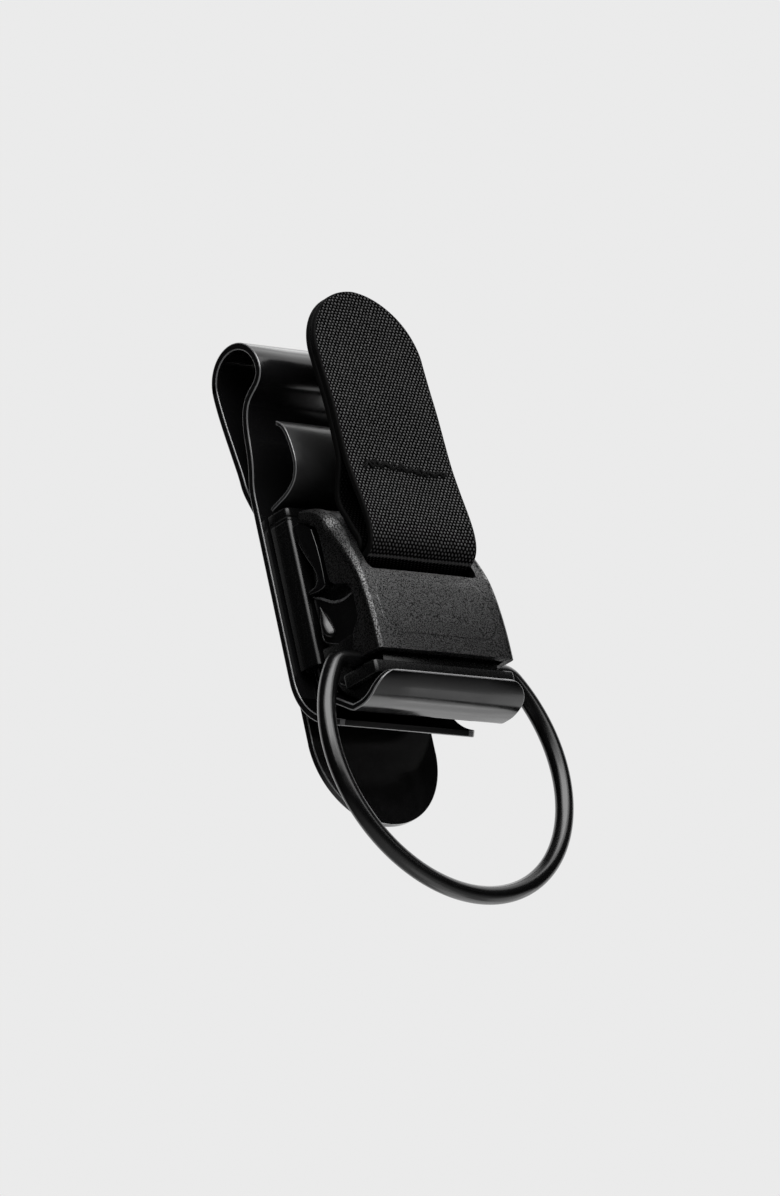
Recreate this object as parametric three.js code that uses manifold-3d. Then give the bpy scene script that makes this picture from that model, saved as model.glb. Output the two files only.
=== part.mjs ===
// Belt-clip key organiser: a folded spring-steel clip, a magnetic receiver with a steel
// cradle, and a lift-out buckle that carries a fabric pull tab and a D-ring.
//
// Millimetres, +Z up.  X is the width, -Y is the front, +Y faces the wearer.
// y = 0 is the back face of the front steel plate, x = 0 its mid-width, z = 0 its mid-height.

import * as THREE from 'three';
import { mergeVertices } from 'three/addons/utils/BufferGeometryUtils.js';
import Module from 'manifold-3d';

const wasm = await Module();
wasm.setup();

// ---------------------------------------------------------------- driving dimensions
const GAP = 0.3;            // clearance kept between touching pieces

const STRIP_W = 26.6;       // spring strip width
const STRIP_T = 1.0;        // spring strip thickness
const LOOP_Y = -2.1;        // centre of the teardrop loop
const LOOP_Z = 33.45;
const LOOP_R = 4.6;         // loop radius at mid thickness
const BEND_Y = -7.0;        // centre of the lower bend of the front plate
const BEND_Z = -9.6;
const BEND_R = 6.5;         // lower bend radius at mid thickness
const LIP_END_Y = -6.8;     // free edge of the lower lip

const TONGUE_Y = 0.8;       // mid plane of the rear tongue
const TONGUE_W = 22.2;      // width of its lower stretch
const TONGUE_TIP_Z = -28.9; // lowest point of the tongue

const BASE_HALF = 12.2;     // receiver half width
const BASE_TOP = 14.0;
const BASE_BOTTOM = -9.2;
const BASE_FRONT = -5.2;

const CRADLE_HALF = 13.4;   // cradle bracket half width
const CRADLE_T = 0.9;
const CRADLE_FLOOR_Z = -18.0;
const CRADLE_V_Y = -10.8;   // corner between the sloping web and the floor
const CRADLE_WEB = Math.tan(36 * Math.PI / 180);
const CRADLE_LIP_Y = -17.6;
const CRADLE_LIP_TOP = -14.3;
const CRADLE_LIP_R = 2.9;

const LEAF_T = 0.55;        // guard leaf thickness
const LEAF_HALF = 12.1;

const COVER_HALF = 12.2;    // buckle cover half width
const COVER_T = 1.3;
const SLIT_LOW = 0.7;       // slit for the pull tab
const SLIT_HIGH = 3.1;
const SLIT_HALF = 10.6;

const MAGNET = 9.0;         // square magnets
const MAGNET_T = 1.8;
const MAGNET_X = 5.5;
const BUCKLE_MAGNET_X = 4.9;
const MAGNET_Z = 3.0;

const PIN_Y = -12.3;        // tab pin inside the buckle
const PIN_Z = 1.7;
const PIN_R = 0.9;

const TAB_HALF = 10.0;      // 20 mm webbing
const TAB_TOP = 42.3;
const TAB_HINGE_Y = -16.3;
const TAB_HINGE_Z = 2.75;

const RING_WIRE = 2.5;      // D-ring wire diameter
const RING_R = 20.25;       // ring radius at the wire's centre
const RING_CHORD = 13.3;    // straight bar above the ring's centre
const RING_FILLET = 2.6;
const BAR_Y = -11.9;        // bar axis
const BAR_Z = -11.0;
const RING_LEAN = 0.06;     // forward lean of the hanging ring

// ---------------------------------------------------------------- helpers
const group = new THREE.Group();

const M_SIDE = new THREE.Matrix4().makeBasis(
  new THREE.Vector3(0, 1, 0), new THREE.Vector3(0, 0, 1), new THREE.Vector3(1, 0, 0));
const M_FRONT = new THREE.Matrix4().makeBasis(
  new THREE.Vector3(1, 0, 0), new THREE.Vector3(0, 0, 1), new THREE.Vector3(0, -1, 0));

function shapeOf(points, holes = []) {
  const pts = points.map(([a, b]) => new THREE.Vector2(a, b));
  const s = new THREE.Shape(pts);
  for (const h of holes) s.holes.push(new THREE.Path(h.map(([a, b]) => new THREE.Vector2(a, b))));
  return s;
}
// side profile (y, z) pushed along X from x0 to x1
function sideSolid(points, x0, x1, holes = []) {
  const g = new THREE.ExtrudeGeometry(shapeOf(points, holes), { depth: x1 - x0, bevelEnabled: false, steps: 1 });
  g.translate(0, 0, x0);
  g.applyMatrix4(M_SIDE);
  return g;
}
// front outline (x, z) pushed along Y from y0 (more +Y) to y1 (more -Y)
function frontSolid(points, y0, y1, holes = []) {
  const g = new THREE.ExtrudeGeometry(shapeOf(points, holes), { depth: y0 - y1, bevelEnabled: false, steps: 1 });
  g.translate(0, 0, -y0);
  g.applyMatrix4(M_FRONT);
  return g;
}
function boxSolid(x0, x1, y0, y1, z0, z1) {
  const g = new THREE.BoxGeometry(x1 - x0, y1 - y0, z1 - z0);
  g.translate((x0 + x1) / 2, (y0 + y1) / 2, (z0 + z1) / 2);
  return g;
}
// cylinder along X
function rodX(r, x0, x1, y, z, seg = 24) {
  const g = new THREE.CylinderGeometry(r, r, x1 - x0, seg, 1);
  g.rotateZ(Math.PI / 2);
  g.translate((x0 + x1) / 2, y, z);
  return g;
}
// cylinder along Y
function rodY(r, y0, y1, x, z, seg = 20) {
  const g = new THREE.CylinderGeometry(r, r, y1 - y0, seg, 1);
  g.translate(x, (y0 + y1) / 2, z);
  return g;
}
// turned piece about the Y axis: profile of [radius, y]
function turnedY(profile, x, z, seg = 20) {
  const g = new THREE.LatheGeometry(profile.map(([r, y]) => new THREE.Vector2(r, y)), seg);
  g.translate(x, 0, z);
  return g;
}
function toManifold(geometry) {
  const g = geometry.index ? geometry.toNonIndexed() : geometry.clone();
  for (const name of Object.keys(g.attributes)) if (name !== 'position') g.deleteAttribute(name);
  const m = mergeVertices(g, 1e-4);
  return new wasm.Manifold(new wasm.Mesh({
    numProp: 3,
    vertProperties: new Float32Array(m.attributes.position.array),
    triVerts: new Uint32Array(m.index.array),
  }));
}
function fromManifold(solid) {
  const mesh = solid.getMesh();
  const g = new THREE.BufferGeometry();
  const n = mesh.vertProperties.length / mesh.numProp;
  const pos = new Float32Array(n * 3);
  for (let i = 0; i < n; i += 1) {
    for (let k = 0; k < 3; k += 1) pos[i * 3 + k] = mesh.vertProperties[i * mesh.numProp + k];
  }
  g.setAttribute('position', new THREE.BufferAttribute(pos, 3));
  g.setIndex(new THREE.BufferAttribute(new Uint32Array(mesh.triVerts), 1));
  g.computeVertexNormals();
  return g;
}
function cut(base, ...tools) {
  let s = toManifold(base);
  for (const t of tools) s = s.subtract(toManifold(t));
  return fromManifold(s);
}
function join(base, ...tools) {
  let s = toManifold(base);
  for (const t of tools) s = s.add(toManifold(t));
  return fromManifold(s);
}
function meet(a, b) {
  return fromManifold(toManifold(a).intersect(toManifold(b)));
}
function add(name, geometry, material) {
  const mesh = new THREE.Mesh(geometry, material);
  mesh.name = name;
  group.add(mesh);
  return mesh;
}
const arc = (cy, cz, r, a0, a1, n) => {
  const out = [];
  for (let i = 0; i <= n; i += 1) {
    const a = (a0 + (a1 - a0) * i / n) * Math.PI / 180;
    out.push([cy + r * Math.cos(a), cz + r * Math.sin(a)]);
  }
  return out;
};
// constant-thickness strip around a centre line
function stripOutline(line, t) {
  const left = [];
  const right = [];
  for (let i = 0; i < line.length; i += 1) {
    const a = line[Math.max(i - 1, 0)];
    const b = line[Math.min(i + 1, line.length - 1)];
    const dx = b[0] - a[0];
    const dy = b[1] - a[1];
    const l = Math.hypot(dx, dy);
    // mitre so that the thickness holds at the corners
    let k = 1;
    if (i > 0 && i < line.length - 1) {
      const p = line[i - 1];
      const q = line[i];
      const r = line[i + 1];
      const u = Math.hypot(q[0] - p[0], q[1] - p[1]);
      const v = Math.hypot(r[0] - q[0], r[1] - q[1]);
      const c = ((q[0] - p[0]) * (r[0] - q[0]) + (q[1] - p[1]) * (r[1] - q[1])) / (u * v);
      k = 1 / Math.sqrt(Math.max((1 + c) / 2, 0.3));
    }
    const nx = -dy / l * t / 2 * k;
    const ny = dx / l * t / 2 * k;
    left.push([line[i][0] + nx, line[i][1] + ny]);
    right.push([line[i][0] - nx, line[i][1] - ny]);
  }
  const loop = left.concat(right.reverse());
  let area = 0;
  for (let i = 0; i < loop.length; i += 1) {
    const [x0, y0] = loop[i];
    const [x1, y1] = loop[(i + 1) % loop.length];
    area += x0 * y1 - x1 * y0;
  }
  return area < 0 ? loop.reverse() : loop;
}
// rectangle with rounded corners, listed counter-clockwise from the lower left;
// r = [lower left, lower right, upper right, upper left]
function roundedRect(x0, x1, z0, z1, r, n = 6) {
  const out = [];
  const corner = (cx, cz, rad, a0) => {
    if (rad <= 0) { out.push([cx, cz]); return; }
    out.push(...arc(cx, cz, rad, a0, a0 + 90, n));
  };
  corner(x0 + r[0], z0 + r[0], r[0], 180);
  corner(x1 - r[1], z0 + r[1], r[1], 270);
  corner(x1 - r[2], z1 - r[2], r[2], 0);
  corner(x0 + r[3], z1 - r[3], r[3], 90);
  return out;
}

// ---------------------------------------------------------------- materials
const blackSteel = new THREE.MeshStandardMaterial({ color: 0x101012, roughness: 0.28, metalness: 0.9 });
const darkLeaf = new THREE.MeshStandardMaterial({ color: 0x161618, roughness: 0.35, metalness: 0.8 });
const satinWire = new THREE.MeshStandardMaterial({ color: 0x0c0c0d, roughness: 0.3, metalness: 0.85 });
const smoothPlastic = new THREE.MeshStandardMaterial({ color: 0x1a1a1b, roughness: 0.45, metalness: 0.0 });
const texturedPlastic = new THREE.MeshStandardMaterial({ color: 0x2b2b2c, roughness: 0.7, metalness: 0.0 });
const webbing = new THREE.MeshStandardMaterial({ color: 0x1c1c1c, roughness: 0.9, metalness: 0.0 });
const thread = new THREE.MeshStandardMaterial({ color: 0x0d0d0d, roughness: 0.8, metalness: 0.0 });
const nickel = new THREE.MeshStandardMaterial({ color: 0x9a9ba0, roughness: 0.3, metalness: 1.0 });
const plainSteel = new THREE.MeshStandardMaterial({ color: 0x6a6c70, roughness: 0.4, metalness: 1.0 });

// ---------------------------------------------------------------- spring clip, front plate
// loop, S-shaped shoulder, straight plate and lower lip, all one bent strip
const plateLine = [
  ...arc(LOOP_Y, LOOP_Z, LOOP_R, 2, 178, 20),
  [-6.62, 32.75], [-6.25, 32.1], [-5.55, 31.45], [-4.55, 30.85], [-3.6, 30.25], [-2.9, 29.5],
  [-2.38, 28.5], [-2.03, 27.3], [-1.82, 26.0], [-1.72, 24.6], [-1.64, 23.2], [-1.5, 21.9],
  [-1.26, 20.7], [-0.93, 19.55], [-0.64, 18.6], [-0.52, 17.8], [-0.5, 17.0],
  ...arc(BEND_Y, BEND_Z, BEND_R, 0, -90, 12),
];
const rivetSpots = [[-MAGNET_X, 11.2], [MAGNET_X, 11.2], [-MAGNET_X, -5.4], [MAGNET_X, -5.4]];
let plate = sideSolid(stripOutline(plateLine, STRIP_T), -STRIP_W / 2, STRIP_W / 2);
{
  // rounded corners of the lower lip: an outline seen from below, (x, y)
  const keep = sideSolid([[-12, -30], [12, -30], [12, 45], [-12, 45]], -STRIP_W / 2 - 1, STRIP_W / 2 + 1);
  const cutters = [];
  for (const s of [-1, 1]) {
    const r = 2.2;
    const cx = s * (STRIP_W / 2 - r);
    const cy = -7.0 + r;
    const poly = [[s * (STRIP_W / 2 + 1), -8], [s * (STRIP_W / 2 + 1), cy], ...(() => {
      const out = [];
      for (let i = 0; i <= 8; i += 1) {
        const a = (i / 8) * Math.PI / 2;
        out.push([cx + s * r * Math.cos(a), cy - r * Math.sin(a)]);
      }
      return out;
    })(), [cx, -8]];
    const pts = s > 0 ? poly.slice().reverse() : poly;
    const g = new THREE.ExtrudeGeometry(shapeOf(pts), { depth: 3, bevelEnabled: false });
    g.translate(0, 0, -17.5);
    cutters.push(g);
  }
  plate = cut(meet(plate, keep), ...cutters);
  const holes = rivetSpots.map(([x, z]) => turnedY([[0, -1.6], [1.5, -1.6], [1.5, -0.75], [2.2, 0.05], [2.2, 0.4], [0, 0.4]], x, z, 24));
  plate = cut(plate, ...holes);
}
add('clip_plate', plate, blackSteel);

// ---------------------------------------------------------------- spring clip, rear tongue
const tongueLine = [
  ...arc(LOOP_Y, LOOP_Z, LOOP_R, -2, -8, 1),
  [2.42, 31.6], [2.2, 29.6], [1.92, 27.4], [1.6, 25.2], [1.26, 23.0], [0.98, 21.2], [0.84, 20.2], [TONGUE_Y, 19.3],
  [TONGUE_Y, TONGUE_TIP_Z - 1],
];
const tongueStrip = sideSolid(stripOutline(tongueLine, STRIP_T), -STRIP_W / 2, STRIP_W / 2);
const tongueOutline = [];
{
  const w = TONGUE_W / 2;
  const zc = TONGUE_TIP_Z + w;
  tongueOutline.push([STRIP_W / 2, 40], [-STRIP_W / 2, 40], [-STRIP_W / 2, 19.5]);
  for (let i = 1; i < 8; i += 1) {
    const t = i / 8;
    const k = t * t * (3 - 2 * t);
    tongueOutline.push([-STRIP_W / 2 + k * (STRIP_W / 2 - w), 19.5 - t * 7.5]);
  }
  tongueOutline.push(...arc(0, zc, w, 180, 360, 28));
  for (let i = 7; i > 0; i -= 1) {
    const t = i / 8;
    const k = t * t * (3 - 2 * t);
    tongueOutline.push([STRIP_W / 2 - k * (STRIP_W / 2 - w), 19.5 - t * 7.5]);
  }
  tongueOutline.push([STRIP_W / 2, 19.5]);
}
add('clip_tongue', meet(tongueStrip, frontSolid(tongueOutline, 6, -4)), blackSteel);

// ---------------------------------------------------------------- guard leaf
const leafFlangeY = -1.0 - GAP - LEAF_T / 2;
const leafLine = [
  [leafFlangeY, 8.4], [leafFlangeY, 13.6], [-1.75, 14.25], [-2.4, 14.55], [-3.5, 14.8], [-5.3, 15.25], [-6.6, 15.85],
  [-7.6, 16.6], [-8.3, 17.6], [-8.6, 18.7], [-8.62, 19.9], [-8.45, 21.4], [-8.2, 22.8], [-7.8, 24.1], [-7.0, 25.1], [-5.9, 25.75],
];
let leaf = sideSolid(stripOutline(leafLine, LEAF_T), -LEAF_HALF, LEAF_HALF);
leaf = meet(leaf, frontSolid([
  [-9.6, 8], [9.6, 8], [9.6, 14.1], [LEAF_HALF, 14.1], ...arc(LEAF_HALF - 1.2, 24.9, 1.2, 0, 90, 4), ...arc(-LEAF_HALF + 1.2, 24.9, 1.2, 90, 180, 4),
  [-LEAF_HALF, 14.1], [-9.6, 14.1]], 2, -12));
leaf = cut(leaf, ...rivetSpots.slice(0, 2).map(([x, z]) => rodY(1.5, -4, 1, x, z)));
add('guard_leaf', leaf, darkLeaf);

// ---------------------------------------------------------------- cradle bracket
const flangeY = -1.0 - GAP - CRADLE_T / 2;
const midFloor = CRADLE_FLOOR_Z + CRADLE_T / 2;
const webPoint = [CRADLE_V_Y - Math.sin(36 * Math.PI / 180) * CRADLE_T / 2, CRADLE_FLOOR_Z + Math.cos(36 * Math.PI / 180) * CRADLE_T / 2];
const webZ = (y) => webPoint[1] + CRADLE_WEB * (y - webPoint[0]);
const vY = webPoint[0] + (midFloor - webPoint[1]) / CRADLE_WEB;
const cradleLine = [
  [flangeY, 8.0], [flangeY, webZ(flangeY) + 1.3], [flangeY - 0.12, webZ(flangeY) + 0.65], [flangeY - 0.45, webZ(flangeY - 0.45) + 0.16],
  [flangeY - 1.05, webZ(flangeY - 1.05)],
  [vY + 0.55, webZ(vY + 0.55)], [vY - 0.1, midFloor + 0.06], [vY - 0.7, midFloor],
  ...arc(CRADLE_LIP_Y + CRADLE_LIP_R, CRADLE_FLOOR_Z + CRADLE_LIP_R, CRADLE_LIP_R - CRADLE_T / 2, 270, 180, 8),
  [CRADLE_LIP_Y + CRADLE_T / 2, CRADLE_LIP_TOP],
];
let cradle = sideSolid(stripOutline(cradleLine, CRADLE_T), -CRADLE_HALF, CRADLE_HALF);
{
  const narrow = 9.6;
  const outline = [
    [-CRADLE_HALF, -19], [CRADLE_HALF, -19], [CRADLE_HALF, -10.7], [narrow, -9.6], [narrow, 8.5], [-narrow, 8.5], [-narrow, -9.6], [-CRADLE_HALF, -10.7]];
  cradle = meet(cradle, frontSolid(outline, 2, -20));
  // rounded upper corners of the front lip
  const r = 3.2;
  for (const s of [-1, 1]) {
    const cx = s * (CRADLE_HALF - r);
    const cz = CRADLE_LIP_TOP - r;
    const pts = [[s * (CRADLE_HALF + 1), cz]];
    for (let i = 0; i <= 8; i += 1) {
      const a = (i / 8) * Math.PI / 2;
      pts.push([cx + s * r * Math.cos(a), cz + r * Math.sin(a)]);
    }
    pts.push([cx, CRADLE_LIP_TOP + 1], [s * (CRADLE_HALF + 1), CRADLE_LIP_TOP + 1]);
    cradle = cut(cradle, frontSolid(s > 0 ? pts : pts.slice().reverse(), -15.2, -19));
  }
  cradle = cut(cradle, ...rivetSpots.slice(2).map(([x, z]) => rodY(1.5, -4, 1, x, z)));
}
add('cradle_bracket', cradle, blackSteel);

// ---------------------------------------------------------------- receiver housing
let base;
{
  const pts = [];
  pts.push([-BASE_HALF, -1.0 - GAP]);
  for (let i = 0; i <= 6; i += 1) {
    const a = (180 + i * 15) * Math.PI / 180;
    pts.push([-BASE_HALF + 1.5 + 1.5 * Math.cos(a), BASE_FRONT + 1.5 + 1.5 * Math.sin(a)]);
  }
  for (let i = 0; i <= 6; i += 1) {
    const a = (270 + i * 15) * Math.PI / 180;
    pts.push([BASE_HALF - 1.5 + 1.5 * Math.cos(a), BASE_FRONT + 1.5 + 1.5 * Math.sin(a)]);
  }
  pts.push([BASE_HALF, -1.0 - GAP]);
  const g = new THREE.ExtrudeGeometry(shapeOf(pts), { depth: BASE_TOP - BASE_BOTTOM, bevelEnabled: false });
  g.translate(0, 0, BASE_BOTTOM);
  base = cut(g,
    boxSolid(-10, 10, -2.5, 0, BASE_BOTTOM - 1, BASE_TOP + 1),
    boxSolid(-MAGNET_X - 4.8, -MAGNET_X + 4.8, -4.6, -2, MAGNET_Z - 4.8, MAGNET_Z + 4.8),
    boxSolid(MAGNET_X - 4.8, MAGNET_X + 4.8, -4.6, -2, MAGNET_Z - 4.8, MAGNET_Z + 4.8),
    // foot relieved over the sloping web of the cradle
    sideSolid([[-0.9, -8.6], [-0.9, -12], [-7, -12], [-7, -9.0], [-3.2, -8.6]], -14, 14),
    // top edge sloped under the guard leaf
    sideSolid([[-0.9, 13.35], [-2.6, 13.75], [-7, 14.05], [-7, 16], [-0.9, 16]], -14, 14),
    ...rivetSpots.flatMap(([x, z]) => [rodY(1.5, -6, 0, x, z), rodY(2.3, -6, -4.2, x, z)]));
}
add('receiver_housing', base, smoothPlastic);

for (const [s, side] of [[-1, 'left'], [1, 'right']]) {
  const x = s * MAGNET_X;
  add(`receiver_magnet_${side}`, boxSolid(x - MAGNET / 2, x + MAGNET / 2, -2.5 - MAGNET_T, -2.5, MAGNET_Z - MAGNET / 2, MAGNET_Z + MAGNET / 2), nickel);
}
const rivetProfile = [[0, -5.1], [1.4, -5.1], [1.9, -4.9], [1.9, -4.5], [1.2, -4.5], [1.2, -0.62], [1.8, -0.12], [0, -0.12]];
['rivet_upper_left', 'rivet_upper_right', 'rivet_lower_left', 'rivet_lower_right'].forEach((name, i) => {
  add(name, turnedY(rivetProfile, rivetSpots[i][0], rivetSpots[i][1]), plainSteel);
});

// ---------------------------------------------------------------- buckle cover
// front skin from the top edge to the lower edge, (y, z)
const skin = [
  [-6.0, 12.4], [-9.0, 12.3], [-10.4, 12.1], [-11.4, 11.65], [-12.1, 10.95], [-12.5, 10.0], [-12.95, 8.5], [-13.45, 7.1], [-14.3, 5.2],
  [-15.3, 2.8], [-16.0, 0.8], [-16.5, -1.4], [-16.85, -3.8], [-17.1, -6.4], [-17.2, -9.0], [-17.2, -11.2]];
function offsetIn(line, d) {
  return line.map((p, i) => {
    const a = line[Math.max(i - 1, 0)];
    const b = line[Math.min(i + 1, line.length - 1)];
    const dy = b[0] - a[0];
    const dz = b[1] - a[1];
    const l = Math.hypot(dy, dz);
    return [p[0] - dz / l * d, p[1] + dy / l * d];
  });
}
const inner = offsetIn(skin, COVER_T);
inner[0] = [-6.0, inner[0][1]];
inner[inner.length - 1] = [inner[inner.length - 1][0], -11.2];
const skinBand = sideSolid(skin.concat(inner.slice().reverse()), -COVER_HALF, COVER_HALF);
// side skirts
const skirtBack = [[-13.9, -11.2], [-13.6, -7.0], [-12.9, -3.0], [-9.6, -0.2], [-9.5, 3.4], [-9.3, 7.0], [-6.4, 10.9]];
const skirtOutline = [...skin, ...skirtBack];
const skirtL = sideSolid(skirtOutline, -COVER_HALF, -COVER_HALF + 1.1);
const skirtR = sideSolid(skirtOutline, COVER_HALF - 1.1, COVER_HALF);
let cover = join(skinBand, skirtL, skirtR);
cover = cut(cover, boxSolid(-SLIT_HALF, SLIT_HALF, -18, -13.2, SLIT_LOW, SLIT_HIGH));
add('buckle_cover', cover, texturedPlastic);

// ---------------------------------------------------------------- buckle core
const webIn = (y) => CRADLE_FLOOR_Z + CRADLE_WEB * (y - CRADLE_V_Y) + (CRADLE_T + 0.5) / Math.cos(36 * Math.PI / 180);
const bodyOutline = [
  [-5.6, 10.6], [-8.6, 10.6], [-10.0, 9.6], [-10.0, -3.4], [-14.6, -3.6], [-15.4, -5.6], [-15.5, -9.0], [-15.5, -15.4], [-14.9, -16.3], [-14.0, -16.6],
  [-10.9, -16.5], [-10.2, webIn(-10.2)], [-6.6, webIn(-6.6)], [-6.0, -11.6], [-5.6, -10.6]].reverse();
const plugOutline = [
  [-13.1, -7.4], [-13.2, -11.6], [-15.5, -11.6], [-15.5, -15.4], [-14.9, -16.3], [-14.0, -16.6], [-10.9, -16.5], [-10.2, webIn(-10.2)], [-6.6, webIn(-6.6)],
  [-6.0, -11.6], [-6.0, -6.8], [-9.0, -7.4]].reverse();
const cheekUpper = [
  [-5.7, 10.5], [-6.5, 10.5], [-9.0, 6.9], [-9.15, 3.4], [-9.15, 0.9], [-6.3, 0.3], [-6.5, 1.5], [-7.6, 1.9], [-7.8, 3.1], [-7.1, 5.2], [-6.3, 7.4], [-5.7, 9.3]].reverse();
const cheekLower = [
  [-6.1, 0.0], [-7.9, -0.9], [-10.2, -2.4], [-12.4, -3.4], [-13.1, -7.4], [-11.0, -8.4], [-6.1, -6.9]].reverse();
let core = sideSolid(bodyOutline, -10.3, 10.3);
core = join(core,
  sideSolid(plugOutline, -11.7, 11.7),
  sideSolid(cheekUpper, -11.6, -9.9), sideSolid(cheekUpper, 9.9, 11.6),
  sideSolid(cheekLower, -11.0, -9.9), sideSolid(cheekLower, 9.9, 11.0));
core = cut(core,
  rodX(RING_WIRE / 2 + 0.35, -13, 13, BAR_Y, BAR_Z, 28),
  // magnet pocket, open to the front
  boxSolid(-9.75, 9.75, -12, -6.3, MAGNET_Z - 4.8, MAGNET_Z + 4.8));
add('buckle_core', core, smoothPlastic);

for (const [s, side] of [[-1, 'left'], [1, 'right']]) {
  const x = s * BUCKLE_MAGNET_X;
  add(`buckle_magnet_${side}`, boxSolid(x - MAGNET / 2, x + MAGNET / 2, -6.6 - MAGNET_T, -6.6, MAGNET_Z - MAGNET / 2, MAGNET_Z + MAGNET / 2), nickel);
}
add('buckle_yoke', boxSolid(-9.4, 9.4, -9.5, -8.7, MAGNET_Z - MAGNET / 2, MAGNET_Z + MAGNET / 2), plainSteel);
add('tab_pin', rodX(PIN_R, -10.7, 10.7, PIN_Y, PIN_Z, 20), plainSteel);

// ---------------------------------------------------------------- pull tab
// strap loop round the pin, held inside the buckle
const loopShape = [
  ...arc(PIN_Y, PIN_Z, 2.0, -145, 145, 22), [-15.5, 2.75], [-15.5, 1.1]];
add('tab_anchor_loop', sideSolid(loopShape, -9.9, 9.9, [arc(PIN_Y, PIN_Z, 1.2, 0, 345, 23).reverse()]), webbing);

const tabOuter = [
  [-16.3, 2.05], [-15.95, 2.15], [-15.72, 2.45], [-15.66, 3.0], [-14.72, 5.32], [-13.85, 7.25], [-13.35, 8.6], [-12.9, 10.15], [-12.62, 11.3],
  [-12.85, 12.6], [-13.35, 13.9], [-13.75, 15.3], [-13.85, 17.2], [-13.7, 21.0], [-13.5, 25.0], [-13.0, 30.0], [-12.6, 35.0], [-12.6, 39.0], [-12.75, TAB_TOP],
  [-14.65, TAB_TOP], [-14.5, 39.0], [-14.5, 35.0], [-14.9, 30.0], [-15.4, 25.0], [-15.6, 21.0], [-15.85, 17.0], [-16.4, 13.3], [-17.0, 10.0],
  [-17.42, 7.2], [-17.38, 5.0], [-17.1, 3.4], [-16.8, 2.35]];
const tabInner = [
  [-16.1, 4.0], [-15.35, 5.7], [-14.65, 7.5], [-14.2, 8.9], [-13.8, 10.3], [-13.55, 11.4], [-13.75, 12.4], [-14.2, 13.6], [-14.75, 15.0],
  [-15.25, 14.4], [-15.75, 12.4], [-16.1, 9.9], [-16.5, 7.2], [-16.45, 5.2]].reverse();
{
  const loop = sideSolid(tabOuter, -TAB_HALF, TAB_HALF, [tabInner]);
  const outline = [[-TAB_HALF, 0], [TAB_HALF, 0], ...arc(0, TAB_TOP - TAB_HALF, TAB_HALF, 0, 180, 24)];
  add('pull_tab', meet(loop, frontSolid(outline, -8, -22)), webbing);
}
// sewn bar tack that closes the loop, lying on the front ply
{
  const yAt = (z) => {
    for (let i = 0; i < tabOuter.length - 1; i += 1) {
      const [y0, z0] = tabOuter[i];
      const [y1, z1] = tabOuter[i + 1];
      if (i > 18 && z <= z0 && z >= z1) return y0 + (y1 - y0) * (z - z0) / (z1 - z0);
    }
    return -16;
  };
  const z0 = 15.0;
  const z1 = 16.4;
  const a = yAt(z0) - 0.3;
  const b = yAt(z1) - 0.3;
  add('tab_bar_tack', sideSolid([[a, z0], [b, z1], [b - 0.4, z1], [a - 0.4, z0]], -8.2, 8.2), thread);
}

// ---------------------------------------------------------------- D-ring
{
  const n = Math.hypot(1, RING_LEAN);
  const down = new THREE.Vector3(0, -RING_LEAN / n, -1 / n);
  const bar = new THREE.Vector3(0, BAR_Y, BAR_Z);
  const at = (x, d) => new THREE.Vector3(x, 0, 0).add(bar).addScaledVector(down, d);
  const fx = Math.sqrt((RING_R - RING_FILLET) ** 2 - (RING_CHORD - RING_FILLET) ** 2);
  const pts = [];
  pts.push(at(0.15, 0), at(5, 0), at(10, 0));
  const a1 = Math.atan2(RING_CHORD - RING_FILLET, fx); // direction of the tangent point
  for (let i = 0; i <= 5; i += 1) {
    const a = Math.PI / 2 + (a1 - Math.PI / 2) * i / 5;
    pts.push(at(fx + RING_FILLET * Math.cos(a), RING_FILLET - RING_FILLET * Math.sin(a)));
  }
  const steps = 40;
  for (let i = 1; i < steps; i += 1) {
    const a = a1 + (-Math.PI - 2 * a1) * i / steps;
    pts.push(at(RING_R * Math.cos(a), RING_CHORD - RING_R * Math.sin(a)));
  }
  for (let i = 0; i <= 5; i += 1) {
    const a = Math.PI - a1 + (Math.PI / 2 - (Math.PI - a1)) * i / 5;
    pts.push(at(-fx + RING_FILLET * Math.cos(a), RING_FILLET - RING_FILLET * Math.sin(a)));
  }
  pts.push(at(-10, 0), at(-5, 0), at(-0.15, 0));
  class WirePath extends THREE.Curve {
    getPoint(t, target = new THREE.Vector3()) {
      const f = t * (pts.length - 1);
      const i = Math.min(Math.floor(f), pts.length - 2);
      return target.copy(pts[i]).lerp(pts[i + 1], f - i);
    }
    getPointAt(t, target) { return this.getPoint(t, target); }
    getTangent(t, target = new THREE.Vector3()) {
      const f = t * (pts.length - 1);
      const i = Math.round(f);
      const a = pts[Math.max(i - 1, 0)];
      const b = pts[Math.min(i + 1, pts.length - 1)];
      return target.copy(b).sub(a).normalize();
    }
    getTangentAt(t, target) { return this.getTangent(t, target); }
  }
  const circle = new THREE.Shape();
  circle.absarc(0, 0, RING_WIRE / 2, 0, Math.PI * 2, false);
  const wire = new THREE.ExtrudeGeometry(circle, { steps: pts.length - 1, extrudePath: new WirePath(), bevelEnabled: false, curveSegments: 12 });
  add('d_ring', wire, satinWire);
}

export default group;
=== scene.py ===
"""Looks of the belt-clip key organiser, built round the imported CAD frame."""
import math

import bmesh
import bpy
import numpy as np
from mathutils import Matrix, Vector


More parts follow.
